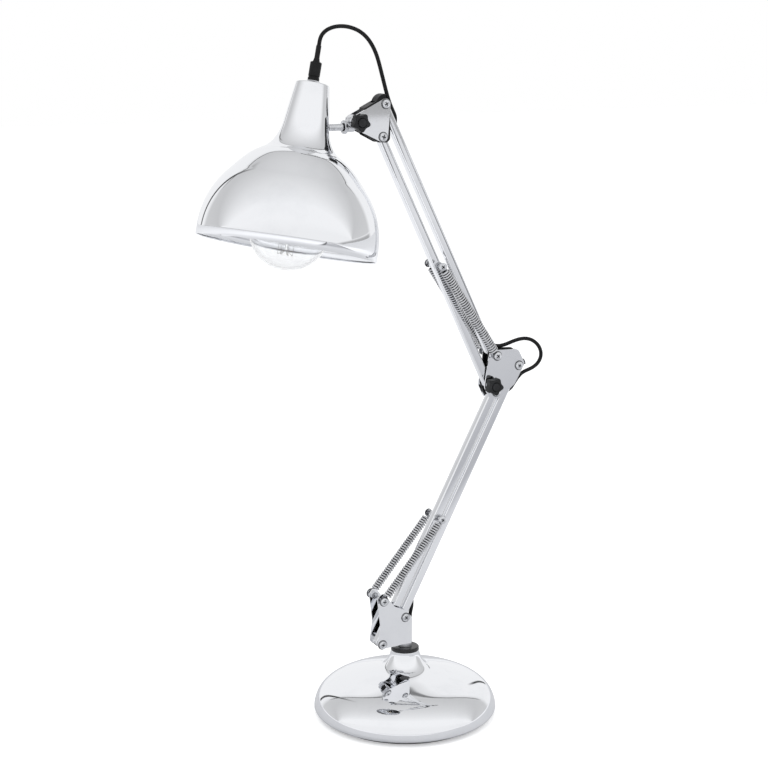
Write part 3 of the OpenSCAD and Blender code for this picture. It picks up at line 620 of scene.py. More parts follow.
# The cover as a turned sheet, and the disc on its neck with a barrel that goes down inside
def makeBase():
    turnedPiece("baseCover", sheetLine(coverLine(), baseLook["wall"]), "base", chrome,
                ("base_shell",), baseLook["segments"], closed=True)
    look = discLook
    r, e, bore = look["radius"], look["edge"], look["bore"]
    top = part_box("neck_bush")[1][2]
    seat, sunk = top - look["thick"], top - look["sunk"]
    foot = seat - look["barrelLong"]
    disc = roundLine([(bore, foot, 0), (look["barrel"], foot, 0), (look["barrel"], seat, 0),
                      (r, seat, e), (r, top, e * 1.6), (look["dish"], top, 0.0003),
                      (look["dish"] - look["sunk"], sunk, 0.0003), (bore + 0.0002, sunk, 0),
                      (bore, foot, 0)], 6)
    turnedPiece("neckDisc", disc, "base", glossPlastic, ("neck_bush",), 128, closed=True)


makeBase()
print("stage: base made")

# Shade: skirt and dome, a crease, then the drawn-out neck
shadeLook = {"radius": 0.0877, "skirt": 0.009, "wall": 0.001, "rim": 0.0004, "bead": 0.0008,
             "beadTall": 0.0009, "segments": 320}


# Radius and height: a straight skirt, an arc of 40 degrees, the shoulder to the crease, the neck
def shadeLine():
    t = np.radians(np.linspace(0, 40, 34))
    dome = np.stack([shadeLook["radius"] * np.cos(t),
                     shadeLook["skirt"] + shadeLook["radius"] * np.sin(t)], -1)
    shoulder = bSpline([(0.0656, 0.0672), (0.0623, 0.0712), (0.056, 0.0786), (0.049, 0.0856),
                        (0.044, 0.0893), (0.04, 0.0916)], 7)
    neck = bSpline([(0.0396, 0.0921), (0.036, 0.0938), (0.0312, 0.098), (0.0266, 0.105),
                    (0.0236, 0.113), (0.0219, 0.1215), (0.0207, 0.13), (0.0189, 0.142),
                    (0.0172, 0.153), (0.0164, 0.158)], 7)
    top = roundLine([(0.0164, 0.158, 0), (0.0161, 0.16, 0.0016), (0.0051, 0.16, 0)], 7)
    rim = [(shadeLook["radius"], shadeLook["rim"])]
    return np.vstack([rim, dome, shoulder, neck, top[1:]])


# The sheet, and a rolled bead inside its rim: an oval of half widths bead and beadTall
def makeShade():
    look = shadeLook
    wide, tall = look["bead"], look["beadTall"]
    a = np.linspace(0, 2 * math.pi, 16, endpoint=False)
    bead = np.stack([look["radius"] - wide + wide * np.cos(a), tall + tall * np.sin(a)], -1)
    for name, line, node in (("shadeShell", sheetLine(shadeLine(), look["wall"]), ("shade",)),
                             ("shadeBead", bead, ())):
        turnedPiece(name, line, "shade", chrome, node, look["segments"], closed=True, **onShade)


makeShade()

gripLook = {"radius": 0.0056, "tail": 0.0025, "groove": 0.0005}


# Radius and height: a waisted grip whose groove runs round it, a thin sleeve, a stepped washer
def makeGrip():
    r, tail = gripLook["radius"], gripLook["tail"]
    waist = r - gripLook["groove"]
    body = roundLine([(0.002, 0.1624, 0), (r, 0.1624, 0.0004), (r, 0.1655, 0.0002),
                      (waist, 0.1658, 0.0002), (waist, 0.1665, 0.0002),
                      (r, 0.1668, 0.0002), (r, 0.1804, 0.0009), (0.0036, 0.1808, 0.0006),
                      (0.0031, 0.1822, 0.0005), (tail, 0.185, 0.001), (tail, 0.196, 0.0008),
                      (0.0021, 0.197, 0.0003), (0.002, 0.197, 0)], 5)
    turnedPiece("cordGrip", np.vstack([body, [(0.002, 0.1624)]]), "shade", blackPlastic,
                ("cord_grip",), 64, closed=True, **onShade)
    washer = roundLine([(0.005, 0.16, 0), (0.007, 0.16, 0), (0.007, 0.1612, 0.0003),
                        (0.0063, 0.1618, 0.0002), (0.0063, 0.1624, 0.0002),
                        (0.005, 0.1624, 0)], 4)
    turnedPiece("gripWasher", washer, "shade", screwSteel, ("grip_washer",), 64, closed=True,
                **onShade)


makeGrip()
print("stage: shade made")

# Bulb: a clear globe, a rolled thread cap, a glass stem and a looped filament
bulbLook = {"radius": 0.0394, "centre": 0.0188, "glass": 0.0009, "segments": 160}
threadLook = {"pitch": 0.0031, "radius": 0.0136, "depth": 0.0004, "foot": 0.0712,
              "top": 0.088, "rows": 84, "segments": 72, "ends": (0.0715, 0.0876),
              "fade": 0.002}


# Globe: an arc from -90 to 60 degrees of a circle, drawn out into the neck
def makeGlobe():
    r, c = bulbLook["radius"], bulbLook["centre"]
    t = np.radians(np.linspace(-90, 60, 64))
    globe = np.stack([r * np.cos(t), c + r * np.sin(t)], -1)
    globe[0, 0] = 0
    neck = bSpline([(0.0188, 0.0534), (0.017, 0.0556), (0.015, 0.059), (0.0138, 0.063),
                    (0.0132, 0.068), (0.0131, 0.074)], 6)
    line = sheetLine(np.vstack([globe, neck[1:]]), bulbLook["glass"])
    line[-1, 0] = 0
    turnedPiece("bulbGlobe", line, "shade", clearGlass, ("bulb_glass",), bulbLook["segments"],
                **onShade)


# Thread: radius + depth cos(2 pi height / pitch - a), so that its crests climb as they turn,
# and the depth fades out at both ends
def makeCap():
    look = threadLook
    n, r = look["segments"], look["radius"]
    a = np.linspace(0, 2 * math.pi, n, endpoint=False)[None, :]
    h = np.linspace(look["foot"], look["top"], look["rows"])[:, None]
    swing = np.cos(2 * math.pi * h / look["pitch"] - a)
    low, high = look["ends"]
    fade = np.clip((h - low) / look["fade"], 0, 1) * np.clip((high - h) / look["fade"], 0, 1)
    radius = r + look["depth"] * swing * fade
    wall = np.stack([radius * np.cos(a), radius * np.sin(a), h + 0 * a], -1).reshape(-1, 3)
    cap = [(r, look["top"]), (0.01, 0.091), (0.0045, 0.092), (0.0045, 0.0935),
           (0.003, 0.094), (0, 0.094)]
    foot = [(0.0131, look["foot"]), (r, look["foot"])]
    parts = [(inShade(wall), gridFaces(look["rows"], n))]
    parts += [(turned(line, n, **onShade), gridFaces(len(line), n)) for line in (cap, foot)]
    newPiece("bulbCap", *joinParts(parts), "shade", brass, ("bulb_cap",))


# Turned too: the flared glass stem that holds the filament's wires
def makeStem():
    stem = bSpline([(0.0045, 0.0895), (0.0045, 0.08), (0.0042, 0.07), (0.003, 0.06),
                    (0.0022, 0.052), (0.0021, 0.047), (0.0027, 0.0448), (0.0018, 0.0432),
                    (0, 0.043)], 5)
    stem[-1, 0] = 0
    turnedPiece("bulbStem", np.vstack([[(0, 0.0895)], stem]), "shade", clearGlass,
                ("bulb_filament",), 40, **onShade)


# Points given in the shade's own frame
def inShade(points):
    p = np.asarray(points, float)
    return rimCentre + p[:, :1] * shadeX + p[:, 1:2] * shadeY + p[:, 2:] * shadeZ


# Filament: a fine coil strung in a zigzag between two crowns of hooks on a glass rod
filamentLook = {"crown": 0.0075, "top": 0.031, "bottom": -0.006, "zigzags": 6, "coils": 260,
                "rod": 0.0011, "rodTop": 0.044, "rodEnd": -0.001, "hook": 0.00016,
                "lead": 0.00028, "coil": 0.00026, "wire": 0.00009, "samples": 2100,
                "from": 20, "sweep": 320}


# Hooks stand at even angles of the sweep and bend out from the rod to the crown
def makeWires():
    look = filamentLook
    crown, count = look["crown"], look["zigzags"]
    parts = []
    for k in range(2 * count):
        a = math.radians(look["from"] + look["sweep"] * k / (2 * count))
        c, s = math.cos(a), math.sin(a)
        start, end = (look["rodTop"], look["top"]) if k % 2 == 0 else (look["rodEnd"],
                                                                       look["bottom"])
        hook = [(0.0008 * c, 0.0008 * s, start), (0.004 * c, 0.004 * s, (start + end) / 2),
                (crown * c, crown * s, end)]
        parts.append(roundTube(throughPoints(inShade(hook), 5), look["hook"], 6,
                               shadeX + shadeY))
    for side in (-1, 1):
        lead = [(side * 0.0016, 0, 0.056), (side * 0.003, 0, 0.046), (side * 0.0062, 0, 0.038),
                (side * 0.0072, 0, look["top"])]
        parts.append(roundTube(throughPoints(inShade(lead), 6), look["lead"], 8, shadeY))
    newPiece("bulbWires", *joinParts(parts), "shade", tungsten)


# Coil: zigzag line + coil (cos spin . out + sin spin . across), round the rod at the crown
def makeFilament():
    look = filamentLook
    end = look["rodEnd"]
    rod = turned([(0, look["rodTop"]), (look["rod"], look["rodTop"]), (look["rod"], end + 0.0008),
                  (0.0016, end), (0.001, end - 0.0012), (0, end - 0.0014)], 24, **onShade)
    newPiece("bulbRod", rod, gridFaces(6, 24), "shade", clearGlass)
    makeWires()
    t = np.linspace(0, 1, look["samples"])
    a = math.radians(look["from"]) + t * math.radians(look["sweep"])
    zig = np.abs((t * look["zigzags"]) % 1 - 0.5) * 2
    height = look["bottom"] + (look["top"] - look["bottom"]) * zig
    line = np.stack([look["crown"] * np.cos(a), look["crown"] * np.sin(a), height], -1)
    spin = t * 2 * math.pi * look["coils"]
    way = np.gradient(line, axis=0)
    way /= np.linalg.norm(way, axis=1)[:, None]
    out = np.stack([np.cos(a), np.sin(a), 0 * a], -1)
    across = np.cross(way, out)
    coil = line + look["coil"] * (np.cos(spin)[:, None] * out + np.sin(spin)[:, None] * across)
    newPiece("bulbFilament", *roundTube(inShade(coil), look["wire"], 5, shadeX), "shade",
             tungsten)


makeGlobe()
makeCap()
makeStem()
makeFilament()
print("stage: bulb made")

# Square tubes: a rounded square carried along, its ends cut round about the pivots
tubeLook = {"side": 0.0086, "wall": 0.001, "corner": 0.0013, "rows": 40}


# Ends: a section point that is x off the axis stops at sqrt(half^2 - x^2) past the pivot
def tubeSkin(foot, way, length, side, corner, reach):
    half = side / 2
    section = roundLine([(-half, -half, corner), (half, -half, corner), (half, half, corner),
                         (-half, half, corner)], 8, closed=True)
    x, y = section[:, 0], section[:, 1]
    cut = np.sqrt(np.maximum(reach**2 - x**2, 0))
    share = np.linspace(0, 1, tubeLook["rows"])[:, None]
    along = -cut[None] + share * (length + 2 * cut[None])
    grid = foot + along[..., None] * way + x[None, :, None] * squareInPlane(way) \
        + y[None, :, None] * yAxis
    return grid.reshape(-1, 3), len(section)


# The outer skin, the inner one and a ring of quads that joins them at each end
def makeTube(name, foot, way, body, node):
    look = tubeLook
    half = look["side"] / 2
    outer, n = tubeSkin(foot, way, armLength, look["side"], look["corner"], half)
    inner, _ = tubeSkin(foot, way, armLength, look["side"] - 2 * look["wall"],
                        look["corner"] / 2, half)
    rows, start = look["rows"], len(outer)
    faces = gridFaces(rows, n) + gridFaces(rows, n, start=start)
    for row in (0, rows - 1):
        a = row * n + np.arange(n)
        b = row * n + (np.arange(n) + 1) % n
        faces += np.stack([a, b, b + start, a + start], -1).tolist()
    newPiece(name, np.vstack([outer, inner]), faces, body, tubeChrome, (node,))


makeTube("lowerLeftTube", lowerLeftFoot, lowerWay, "lower_link", "lower_left_tube")
makeTube("lowerRightTube", lowerRightFoot, lowerWay, "lower_arm", "lower_right_tube")
makeTube("upperLeftTube", upperLeftFoot, upperWay, "upper_link", "upper_left_tube")
makeTube("upperRightTube", upperRightFoot, upperWay, "upper_arm", "upper_right_tube")
print("stage: tubes made")

# Screws: a washer, a domed head with a sunk cross, and a shank. The cross's arm, half width
# and slopes are shares of the head's radius, its pit and floor of the head's thickness.
screwLook = {"bolt": 0.002, "washer": 0.0047, "washerThick": 0.0008, "head": 0.0042,
             "headThick": 0.0017, "arm": 0.56, "half": 0.13, "sideSlope": 0.0325,
             "endSlope": 0.15, "pit": 0.9, "floorArm": 0.54, "floorHalf": 0.12,
             "floor": (0.22, 0.46), "grime": 0.0004, "film": 0.00008, "pinEnd": 0.0158,
             "collar": 0.0042, "collarThick": 0.003}
plateLook = {"low": 0.009, "top": 0.006, "thick": 0.0015}
boltRadius, pinEnd = screwLook["bolt"], screwLook["pinEnd"]


# Two ways square to an outward one: side = out x z, up = side x out
def squareTo(out):
    side = np.cross(out, zAxis)
    return side, np.cross(side, out)


# Head: thickness (1 - 0.3 r^2 - 0.35 r^8), less a cross-shaped pit that is shallower outward
def crossHead(origin, out, turn):
    look = screwLook
    radius, thick = look["head"], look["headThick"]
    side, up = squareTo(out)
    r = np.linspace(0, 1, 22)[:, None]
    a = np.linspace(0, 2 * math.pi, 72, endpoint=False)[None, :]
    x = radius * r * np.cos(a)
    y = radius * r * np.sin(a)
    c, s = math.cos(turn), math.sin(turn)
    u, w = np.abs(c * x + s * y), np.abs(-s * x + c * y)
    arm, half = radius * look["arm"], radius * look["half"]
    inCross = np.clip((half - np.minimum(u, w)) / (look["sideSlope"] * radius), 0, 1) \
        * np.clip((arm - np.maximum(u, w)) / (look["endSlope"] * radius), 0, 1)
    height = thick * (1 - 0.3 * r**2 - 0.35 * r**8) \
        - look["pit"] * thick * inCross * (1 - r * 0.5)
    grid = origin + x[..., None] * side + y[..., None] * up + (height + 0 * x)[..., None] * out
    skirt = origin + radius * np.cos(a)[..., None] * side + radius * np.sin(a)[..., None] * up
    grid = np.concatenate([grid, skirt], 0)
    return grid.reshape(-1, 3), gridFaces(23, 72)


# Painted shade in the cross: a dark plus-shaped prism just above the pit's own floor
def crossFloor(origin, out, turn):
    look = screwLook
    side, up = squareTo(out)
    arm, half = look["head"] * look["floorArm"], look["head"] * look["floorHalf"]
    quarter = np.array([[arm, -half], [arm, half], [half, half]])
    a = turn + np.arange(4) * math.pi / 2
    c, s = np.cos(a), np.sin(a)
    spin = np.stack([np.stack([c, s], -1), np.stack([-s, c], -1)], 1)
    flat = (quarter[None] @ spin).reshape(-1, 2)
    outline = origin + flat[:, :1] * side + flat[:, 1:] * up
    points = np.vstack([outline + share * look["headThick"] * out for share in look["floor"]])
    return points, tubeFaces(2, 12)


# A ring with rounded outer edges, from low to high along the outward way
def ringPart(origin, out, inner, outer, low, high, edge=0.00015):
    line = roundLine([(inner, low, 0), (outer, low, edge), (outer, high, edge),
                      (inner, high, 0)], 3)
    points = turned(line, 56, origin, (*squareTo(out), out))
    return points, gridFaces(len(line), 56, closedRows=True)


# A solid round bar with rounded ends, from low to high along the outward way
def rodPart(origin, out, radius, low, high, edge=0.0002):
    line = roundLine([(0, low, 0), (radius, low, edge), (radius, high, edge), (0, high, 0)], 3)
    return turned(line, 40, origin, (*squareTo(out), out)), gridFaces(len(line), 40)


# Steel of a screw whose washer sits at seat and whose shank ends at end, both along y, and its
# dark parts: painted shade in the cross's floor, and joint lines round the head and the washer
# that are part dark joint, part painted shade
def screwParts(at, seat, end, turn):
    out = yAxis * (1 if seat > end else -1)
    look = screwLook
    origin = at + yAxis * seat
    top = origin + out * look["washerThick"]
    steel = [ringPart(origin, out, boltRadius, look["washer"], 0, look["washerThick"]),
             crossHead(top, out, turn), rodPart(origin, out, boltRadius, -abs(seat - end), 0)]
    dark = [crossFloor(top, out, turn)]
    for middle, radius in ((top, look["head"]), (origin, look["washer"])):
        dark.append(ringPart(middle, out, radius - look["grime"], radius + look["grime"], 0,
                             look["film"], look["film"] / 4))
    return steel, dark


# The steel replaces the model's node, and its painted shade rides with it
def steelAndPaintedShade(name, steel, dark, body, node):
    newPiece(name, *joinParts(steel), body, screwSteel, (node,))
    newPiece(name + "Grime", *joinParts(dark), body, jointLineAndPaintedShade)


# Screws of one node as one piece, with any extra steel
def screwSet(name, spots, body, node, extra=()):
    sets = [screwParts(*spot) for spot in spots]
    steel = [part for metals, _ in sets for part in metals] + list(extra)
    steelAndPaintedShade(name, steel, [part for _, darks in sets for part in darks], body, node)


# Each spot is its place, the seat and the end along y, and the cross's turn in radians
def makeScrews():
    seat = -plateLook["low"] - plateLook["thick"]
    screwSet("baseBolts", [(lowerLeftFoot, seat, 0.0145, 0.35),
             (lowerRightFoot, seat, 0.0145, 0.9)], "base_bracket", "base_bolts")
    screwSet("earScrews", [(earHole, -pinEnd, -0.006, 0.15), (earHole, pinEnd, 0.006, 0.6)],
             "base_bracket", "ear_screws")
    seat = -plateLook["top"] - plateLook["thick"]
    screwSet("elbowScrews", [(lowerLeftTop, seat, 0.0115, 1.2),
             (lowerRightTop, seat, 0.0115, 0.45)], "elbow_bracket", "elbow_screws")
    screwSet("headScrews", [(upperLeftTop, seat, 0.0115, 0.25),
             (upperRightTop, seat, 0.0115, 1.0)], "head_bracket", "head_screws")
    collar = ringPart(upperRightFoot + seat * yAxis, -yAxis, boltRadius, screwLook["collar"], 0,
                      0.002)
    rear = crossHead(upperRightFoot + pinEnd * yAxis, yAxis, 0.5)
    screwSet("springBolt", [(upperRightFoot, -pinEnd, pinEnd, 0.8)], "elbow_bracket",
             "spring_bolt", (collar, rear))
    half = tubeLook["side"] / 2
    for level, at in (("lower", lowerPin), ("upper", upperPin)):
        steel, dark = [rodPart(at, yAxis, boltRadius, -pinEnd, pinEnd)], []
        for out, turn in ((-yAxis, 0.7), (yAxis, 0.3)):
            steel.append(ringPart(at, out, boltRadius, screwLook["collar"], half,
                                  half + screwLook["collarThick"]))
            steel.append(crossHead(at + out * pinEnd, out, turn))
            dark.append(crossFloor(at + out * pinEnd, out, turn))
        steelAndPaintedShade(level + "SpringPin", steel, dark, level + "_link", level + "_spring_pin")


makeScrews()
print("stage: screws made")

# Star knobs: waist + lobe cos 5(a - turn) + a tenth of a millimetre's second swing gives the
# radius, which shrinks at the rounded edges. Depths count from the arm's plane to the front.
knobLook = {"waist": 0.0081, "lobe": 0.0011, "swing": 0.0001, "back": 0.0107, "face": 0.0195,
            "edge": 0.0013, "hub": 0.0048, "hubBack": 0.0084, "bore": 0.0022}


# Rows of a knob from its hub at the back, over the star, to the boss in front
def makeKnob(name, at, turn):
    look = knobLook
    a = np.linspace(0, 2 * math.pi, 160, endpoint=False)
    e, back, face, bore = look["edge"], look["back"], look["face"], look["bore"]
    quarter = np.radians(np.linspace(0, 90, 7))
    inset = np.concatenate([[0.0035, 0.0022], e * 0.5 * (1 - np.sin(quarter)),
                            e * (1 - np.cos(quarter)), [0.0024, 0.0038, 0.0039]])
    depth = np.concatenate([[back, back], back + e * 0.5 * (1 - np.cos(quarter)),
                            face - e * (1 - np.sin(quarter)), [face, face, face]])
    swing = 5 * (a - turn)
    lobes = look["waist"] + look["lobe"] * np.cos(swing) + look["swing"] * np.cos(2 * swing)
    ring = np.cos(a)[None, :, None] * xAxis + np.sin(a)[None, :, None] * zAxis
    star = at + (lobes[None] - inset[:, None])[..., None] * ring - depth[:, None, None] * yAxis
    # raised boss: a low dome inside a shallow groove
    boss = roundLine([(0.0049, face, 0), (0.0047, 0.0189, 0), (0.0043, 0.0189, 0),
                      (0.0042, 0.0203, 0.0004), (0, 0.0203, 0)], 5)
    hub = roundLine([(look["hub"], back, 0), (look["hub"], look["hubBack"], 0.0002),
                     (bore, look["hubBack"], 0)], 4)[::-1]
    hubRows, bossRows = (at + line[:, :1, None] * ring - line[:, 1:, None] * yAxis
                         for line in (hub, boss))
    rows = np.concatenate([hubRows, star, bossRows])
    newPiece(name + "Knob", rows.reshape(-1, 3), gridFaces(len(rows), 160), name + "_knob",
             knobPlastic, (name + "_knob",))


makeKnob("elbow", upperLeftFoot, math.radians(-10))
makeKnob("head", tiltPivot, math.radians(-15))
print("stage: knobs made")

# Springs: close-wound wire; a hook at each end loops round its pin
springLook = {"wire": 0.0019, "pitch": 0.0026, "sides": 12, "perTurn": 20, "hook": 0.003,
              "lead": 0.0022, "outer": 0.3, "held": 0.003, "aside": 0.0142}
# Each level's coil diameter, the height of the cut and the foot's share of the arm's turn
springSets = {"lower": (0.009, 0.014, 0.4), "upper": (0.01, 0.016, 0.88)}


# Axis runs from pin to pin, and the coil, (r cos a, r sin a, along), fills what the hooks leave
def springPath(length, r):
    look = springLook
    lead = look["hook"] + look["lead"]
    turns = int((length - 2 * lead) / look["pitch"])
    t = np.linspace(0, turns, turns * look["perTurn"] + 1)
    a = 2 * math.pi * t
    along = lead + t / turns * (length - 2 * lead)
    coil = np.stack([r * np.cos(a), r * np.sin(a), along], -1)
    swing = np.radians(np.linspace(-150, 90, 17))
    h = look["hook"]
    loop = np.stack([h * np.cos(swing), 0 * swing, h * np.sin(swing)], -1)
    rise = np.array([[0.0004, 0, h + 0.0002], [r * 0.55, 0, h + 0.0011]])
    start = np.vstack([loop[:-1], rise])
    stop = start[::-1] * (1, -1, -1) + (0, 0, length)
    return np.vstack([start, coil[4:-4], stop])


# Where a blend's turn, 3 t^2 - 2 t^3, reaches a share
def blendPlace(share):
    return 0.5 - math.sin(math.asin(1 - 2 * share) / 3)


# Each spring is two pieces, cut at a height and baked in place; from the foot's share, the stretch
# of the axis over which each piece would follow the arm's turn is worked out, but nothing uses it
def makeSpring(level, label, side, low, high):
    look = springLook
    diameter, cut, share = springSets[level]
    length = float(np.linalg.norm(high - low))
    way = (high - low) / length
    r = (diameter - look["wire"]) / 2
    path = springPath(length, r)
    middle = low + side * look["aside"] * yAxis
    world = middle + path[:, :1] * squareInPlane(way) + path[:, 1:2] * yAxis + path[:, 2:] * way
    ring, at = look["sides"], blendPlace(share)
    whole, _ = roundTube(world, look["wire"] / 2, ring, yAxis)
    split = int(np.argmax(path[:, 2] > cut))
    first, last = look["held"], length - look["held"]
    bent = ((first, first + (cut - first) / at), (last - (last - cut) / (1 - at), last))
    name = level + "Spring" + label
    for part, a, b, ends in ((name + "Foot", 0, split + 1, bent[0]),
                             (name, split, len(path), bent[1])):
        piece = newPiece(part, whole[a * ring:b * ring], tubeFaces(b - a, ring), None,
                         springSteel, (level + "_springs",))
        piece.data.materials.append(jointLineAndPaintedShade)
        # painted shade: wire faces nearer the coil's axis than its outer band get the dark finish
        centres = np.array([face.center for face in piece.data.polygons]) - middle
        along = centres @ way
        reach = np.linalg.norm(centres - along[:, None] * way, axis=1)
        hooks = look["hook"] + look["held"]
        coiled = (along > hooks) & (along < length - hooks)
        dark = (reach < r + look["outer"] * look["wire"] / 2) & coiled
        piece.data.polygons.foreach_set("material_index", dark.astype(int).tolist())
        start, end = (tuple(low + place * way) for place in ends)
        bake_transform(piece)


for label, side in (("Front", -1), ("Rear", 1)):
    makeSpring("lower", label, side, earHole, lowerPin)
    makeSpring("upper", label, side, upperRightFoot, upperPin)
print("stage: springs made")

# Rigid sheet and block parts: the model's own faces, welded, with softened edges
softLook = {"weld": 1e-6, "flat": 1.5, "sharp": 35, "segments": 3}
softEdges = {
    "base_bracket": ("base_bracket", 0.0003, chrome),
    "elbow_plates": ("elbow_bracket", 0.0003, chrome),
    "head_plates": ("head_bracket", 0.0003, chrome),
    "elbow_core": ("elbow_bracket", 0.00025, blackPlastic),
    "head_core": ("head_bracket", 0.00025, blackPlastic),
    "base_nuts": ("base_bracket", 0.0002, screwSteel),
    "elbow_nuts": ("elbow_bracket", 0.0002, screwSteel),
    "head_nuts": ("head_bracket", 0.0002, screwSteel),
    "elbow_washer": ("elbow_bracket", 0.00015, screwSteel),
    "head_washer": ("head_bracket", 0.00015, screwSteel),
}


# A copy of a node's mesh: doubles merged, flat faces dissolved, sharp edges bevelled
def makeSoftEdge(node, body, width, material):
    sheet = bmesh.new()
    sheet.from_mesh(frame["nodes"][node].data)
    bmesh.ops.remove_doubles(sheet, verts=sheet.verts, dist=softLook["weld"])
    bmesh.ops.dissolve_limit(sheet, angle_limit=math.radians(softLook["flat"]),
                             verts=sheet.verts, edges=sheet.edges)
    mesh = bpy.data.meshes.new(node + "Soft")
    sheet.to_mesh(mesh)
    sheet.free()
    mesh.polygons.foreach_set("use_smooth", [True] * len(mesh.polygons))
    mesh.materials.clear()
    mesh.materials.append(material)
    piece = bpy.data.objects.new("soft_" + node, mesh)
    bpy.context.scene.collection.objects.link(piece)
    bevel = piece.modifiers.new("edge", "BEVEL")
    bevel.width = width
    bevel.segments = softLook["segments"]
    bevel.limit_method = "ANGLE"
    bevel.angle_limit = math.radians(softLook["sharp"])
    piece.modifiers.new("flats", "WEIGHTED_NORMAL").weight = 100
    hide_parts(node)
    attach(piece, body)


for node, (body, width, material) in softEdges.items():
    makeSoftEdge(node, body, width, material)
print("stage: plates and blocks made")

# Swivel: a ball-ended knuckle whose boss narrows into the rod. Places along the rod count
# from the tilt pivot, or for its far end and the neck's wall from the shade's axis.
swivelLook = {"rod": 0.0034, "boss": 0.005, "bossEnd": 0.009, "eye": 0.007, "half": 0.0059,
              "bore": 0.00205, "collar": 0.0067, "collarThick": 0.003, "rodEnd": 0.0155,
              "neckWall": 0.0228, "band": 0.0008, "bandIn": 0.0003, "bandOut": 0.00008}


# Turned shapes: the rod with its boss, the eye round the clamp bolt, the collar, painted shade
# bands
def makeSwivel():
    look = swivelLook
    rod, boss, half, bore = look["rod"], look["boss"], look["half"], look["bore"]
    x0, end = tiltPivot[0], shadeX0 + look["rodEnd"]
    bossEnd = x0 - look["bossEnd"]
    axes = (yAxis, zAxis, xAxis)
    line = roundLine([(0, end, 0), (rod, end, 0.0004), (rod, bossEnd - 0.0004, 0.0003),
                      (boss - 0.0003, bossEnd - 0.0004, 0.0003), (boss, x0 - 0.004, 0.001),
                      (boss, x0 - 0.001, 0.0004), (0, x0 - 0.001, 0)], 5)
    shank = turned(line, 72, (0, 0, rodZ), axes), gridFaces(len(line), 72)
    eye = roundLine([(bore, -half, 0), (look["eye"], -half, 0.0014), (look["eye"], half, 0.0014),
                     (bore, half, 0)], 6)
    ring = turned(eye, 72, tiltPivot, (xAxis, zAxis, yAxis)), gridFaces(len(eye), 72, True)
    newPiece("swivelKnuckle", *joinParts([shank, ring]), "head_swivel", screwSteel, ("knuckle",))
    collarStart = bossEnd - look["collarThick"]
    collar = roundLine([(rod, collarStart, 0), (look["collar"], collarStart, 0.0006),
                        (look["collar"], bossEnd, 0.0006), (rod, bossEnd, 0)], 5)
    turnedPiece("rodCollar", collar, "head_swivel", screwSteel, ("rod_collar",), 96,
                (0, 0, rodZ), axes, closed=True)
    # dark bands where the rod enters the neck and on both sides of the collar,
    # joint lines deepened with painted shade
    bands = []
    for start, radius in ((shadeX0 + look["neckWall"], rod),
                          (collarStart - look["band"], rod), (bossEnd, boss)):
        inner, outer, stop = radius - look["bandIn"], radius + look["bandOut"], start + look["band"]
        band = [(inner, start), (outer, start), (outer, stop), (inner, stop)]
        bands.append((turned(band, 64, (0, 0, rodZ), axes), gridFaces(4, 64, closedRows=True)))
    newPiece("swivelGrime", *joinParts(bands), "head_swivel", jointLineAndPaintedShade)


makeSwivel()

# Clamp bolts: a shank that ends in the knob, and behind it a domed head (the head's) or a nut
clampLook = {"front": 0.017, "nutEnd": 0.004, "headEnd": 0.001, "dome": 0.0042, "rise": 0.0022}


# A bar, and where it is headed a quarter oval turned into a dome
def makeClampBolt(name, at, headed):
    look = clampLook
    rear = plateLook["top"] + plateLook["thick"]
    parts = [rodPart(at, yAxis, boltRadius, -look["front"],
                     rear + look["headEnd" if headed else "nutEnd"])]
    if headed:
        t = np.radians(np.linspace(0, 90, 10))
        side = np.stack([look["dome"] * np.cos(t), rear + look["rise"] * np.sin(t)], -1)
        dome = np.vstack([[(0, rear)], side])
        parts.append((turned(dome, 48, at, (zAxis, xAxis, yAxis)), gridFaces(len(dome), 48)))
    newPiece(name + "ClampBolt", *joinParts(parts), name + "_bracket", screwSteel,
             (name + "_clamp_bolt",))


makeClampBolt("elbow", upperLeftFoot, False)
makeClampBolt("head", tiltPivot, True)
print("stage: swivel and clamp bolts made")

# Nodes that keep their own shape get a finish
nodeFinish = {
    "base_weight": castIron, "base_pad": felt, "bush_nut": turnedSteel, "cord_gland": blackPlastic,
    "spindle": turnedSteel, "spindle_clip": turnedSteel, "base_spacers": turnedSteel,
    "lower_left_plugs": blackPlastic, "lower_right_plugs": blackPlastic,
    "upper_left_plugs": blackPlastic, "upper_right_plugs": blackPlastic, "rod_nut": screwSteel,
    "nipple": turnedSteel, "holder_shell": blackPlastic, "holder_sleeve": brass,
    "holder_insert": ceramic,
}
for node, material in nodeFinish.items():
    kept = frame["nodes"][node]
    kept.data.materials.clear()
    kept.data.materials.append(material)
print("stage: kept nodes finished")

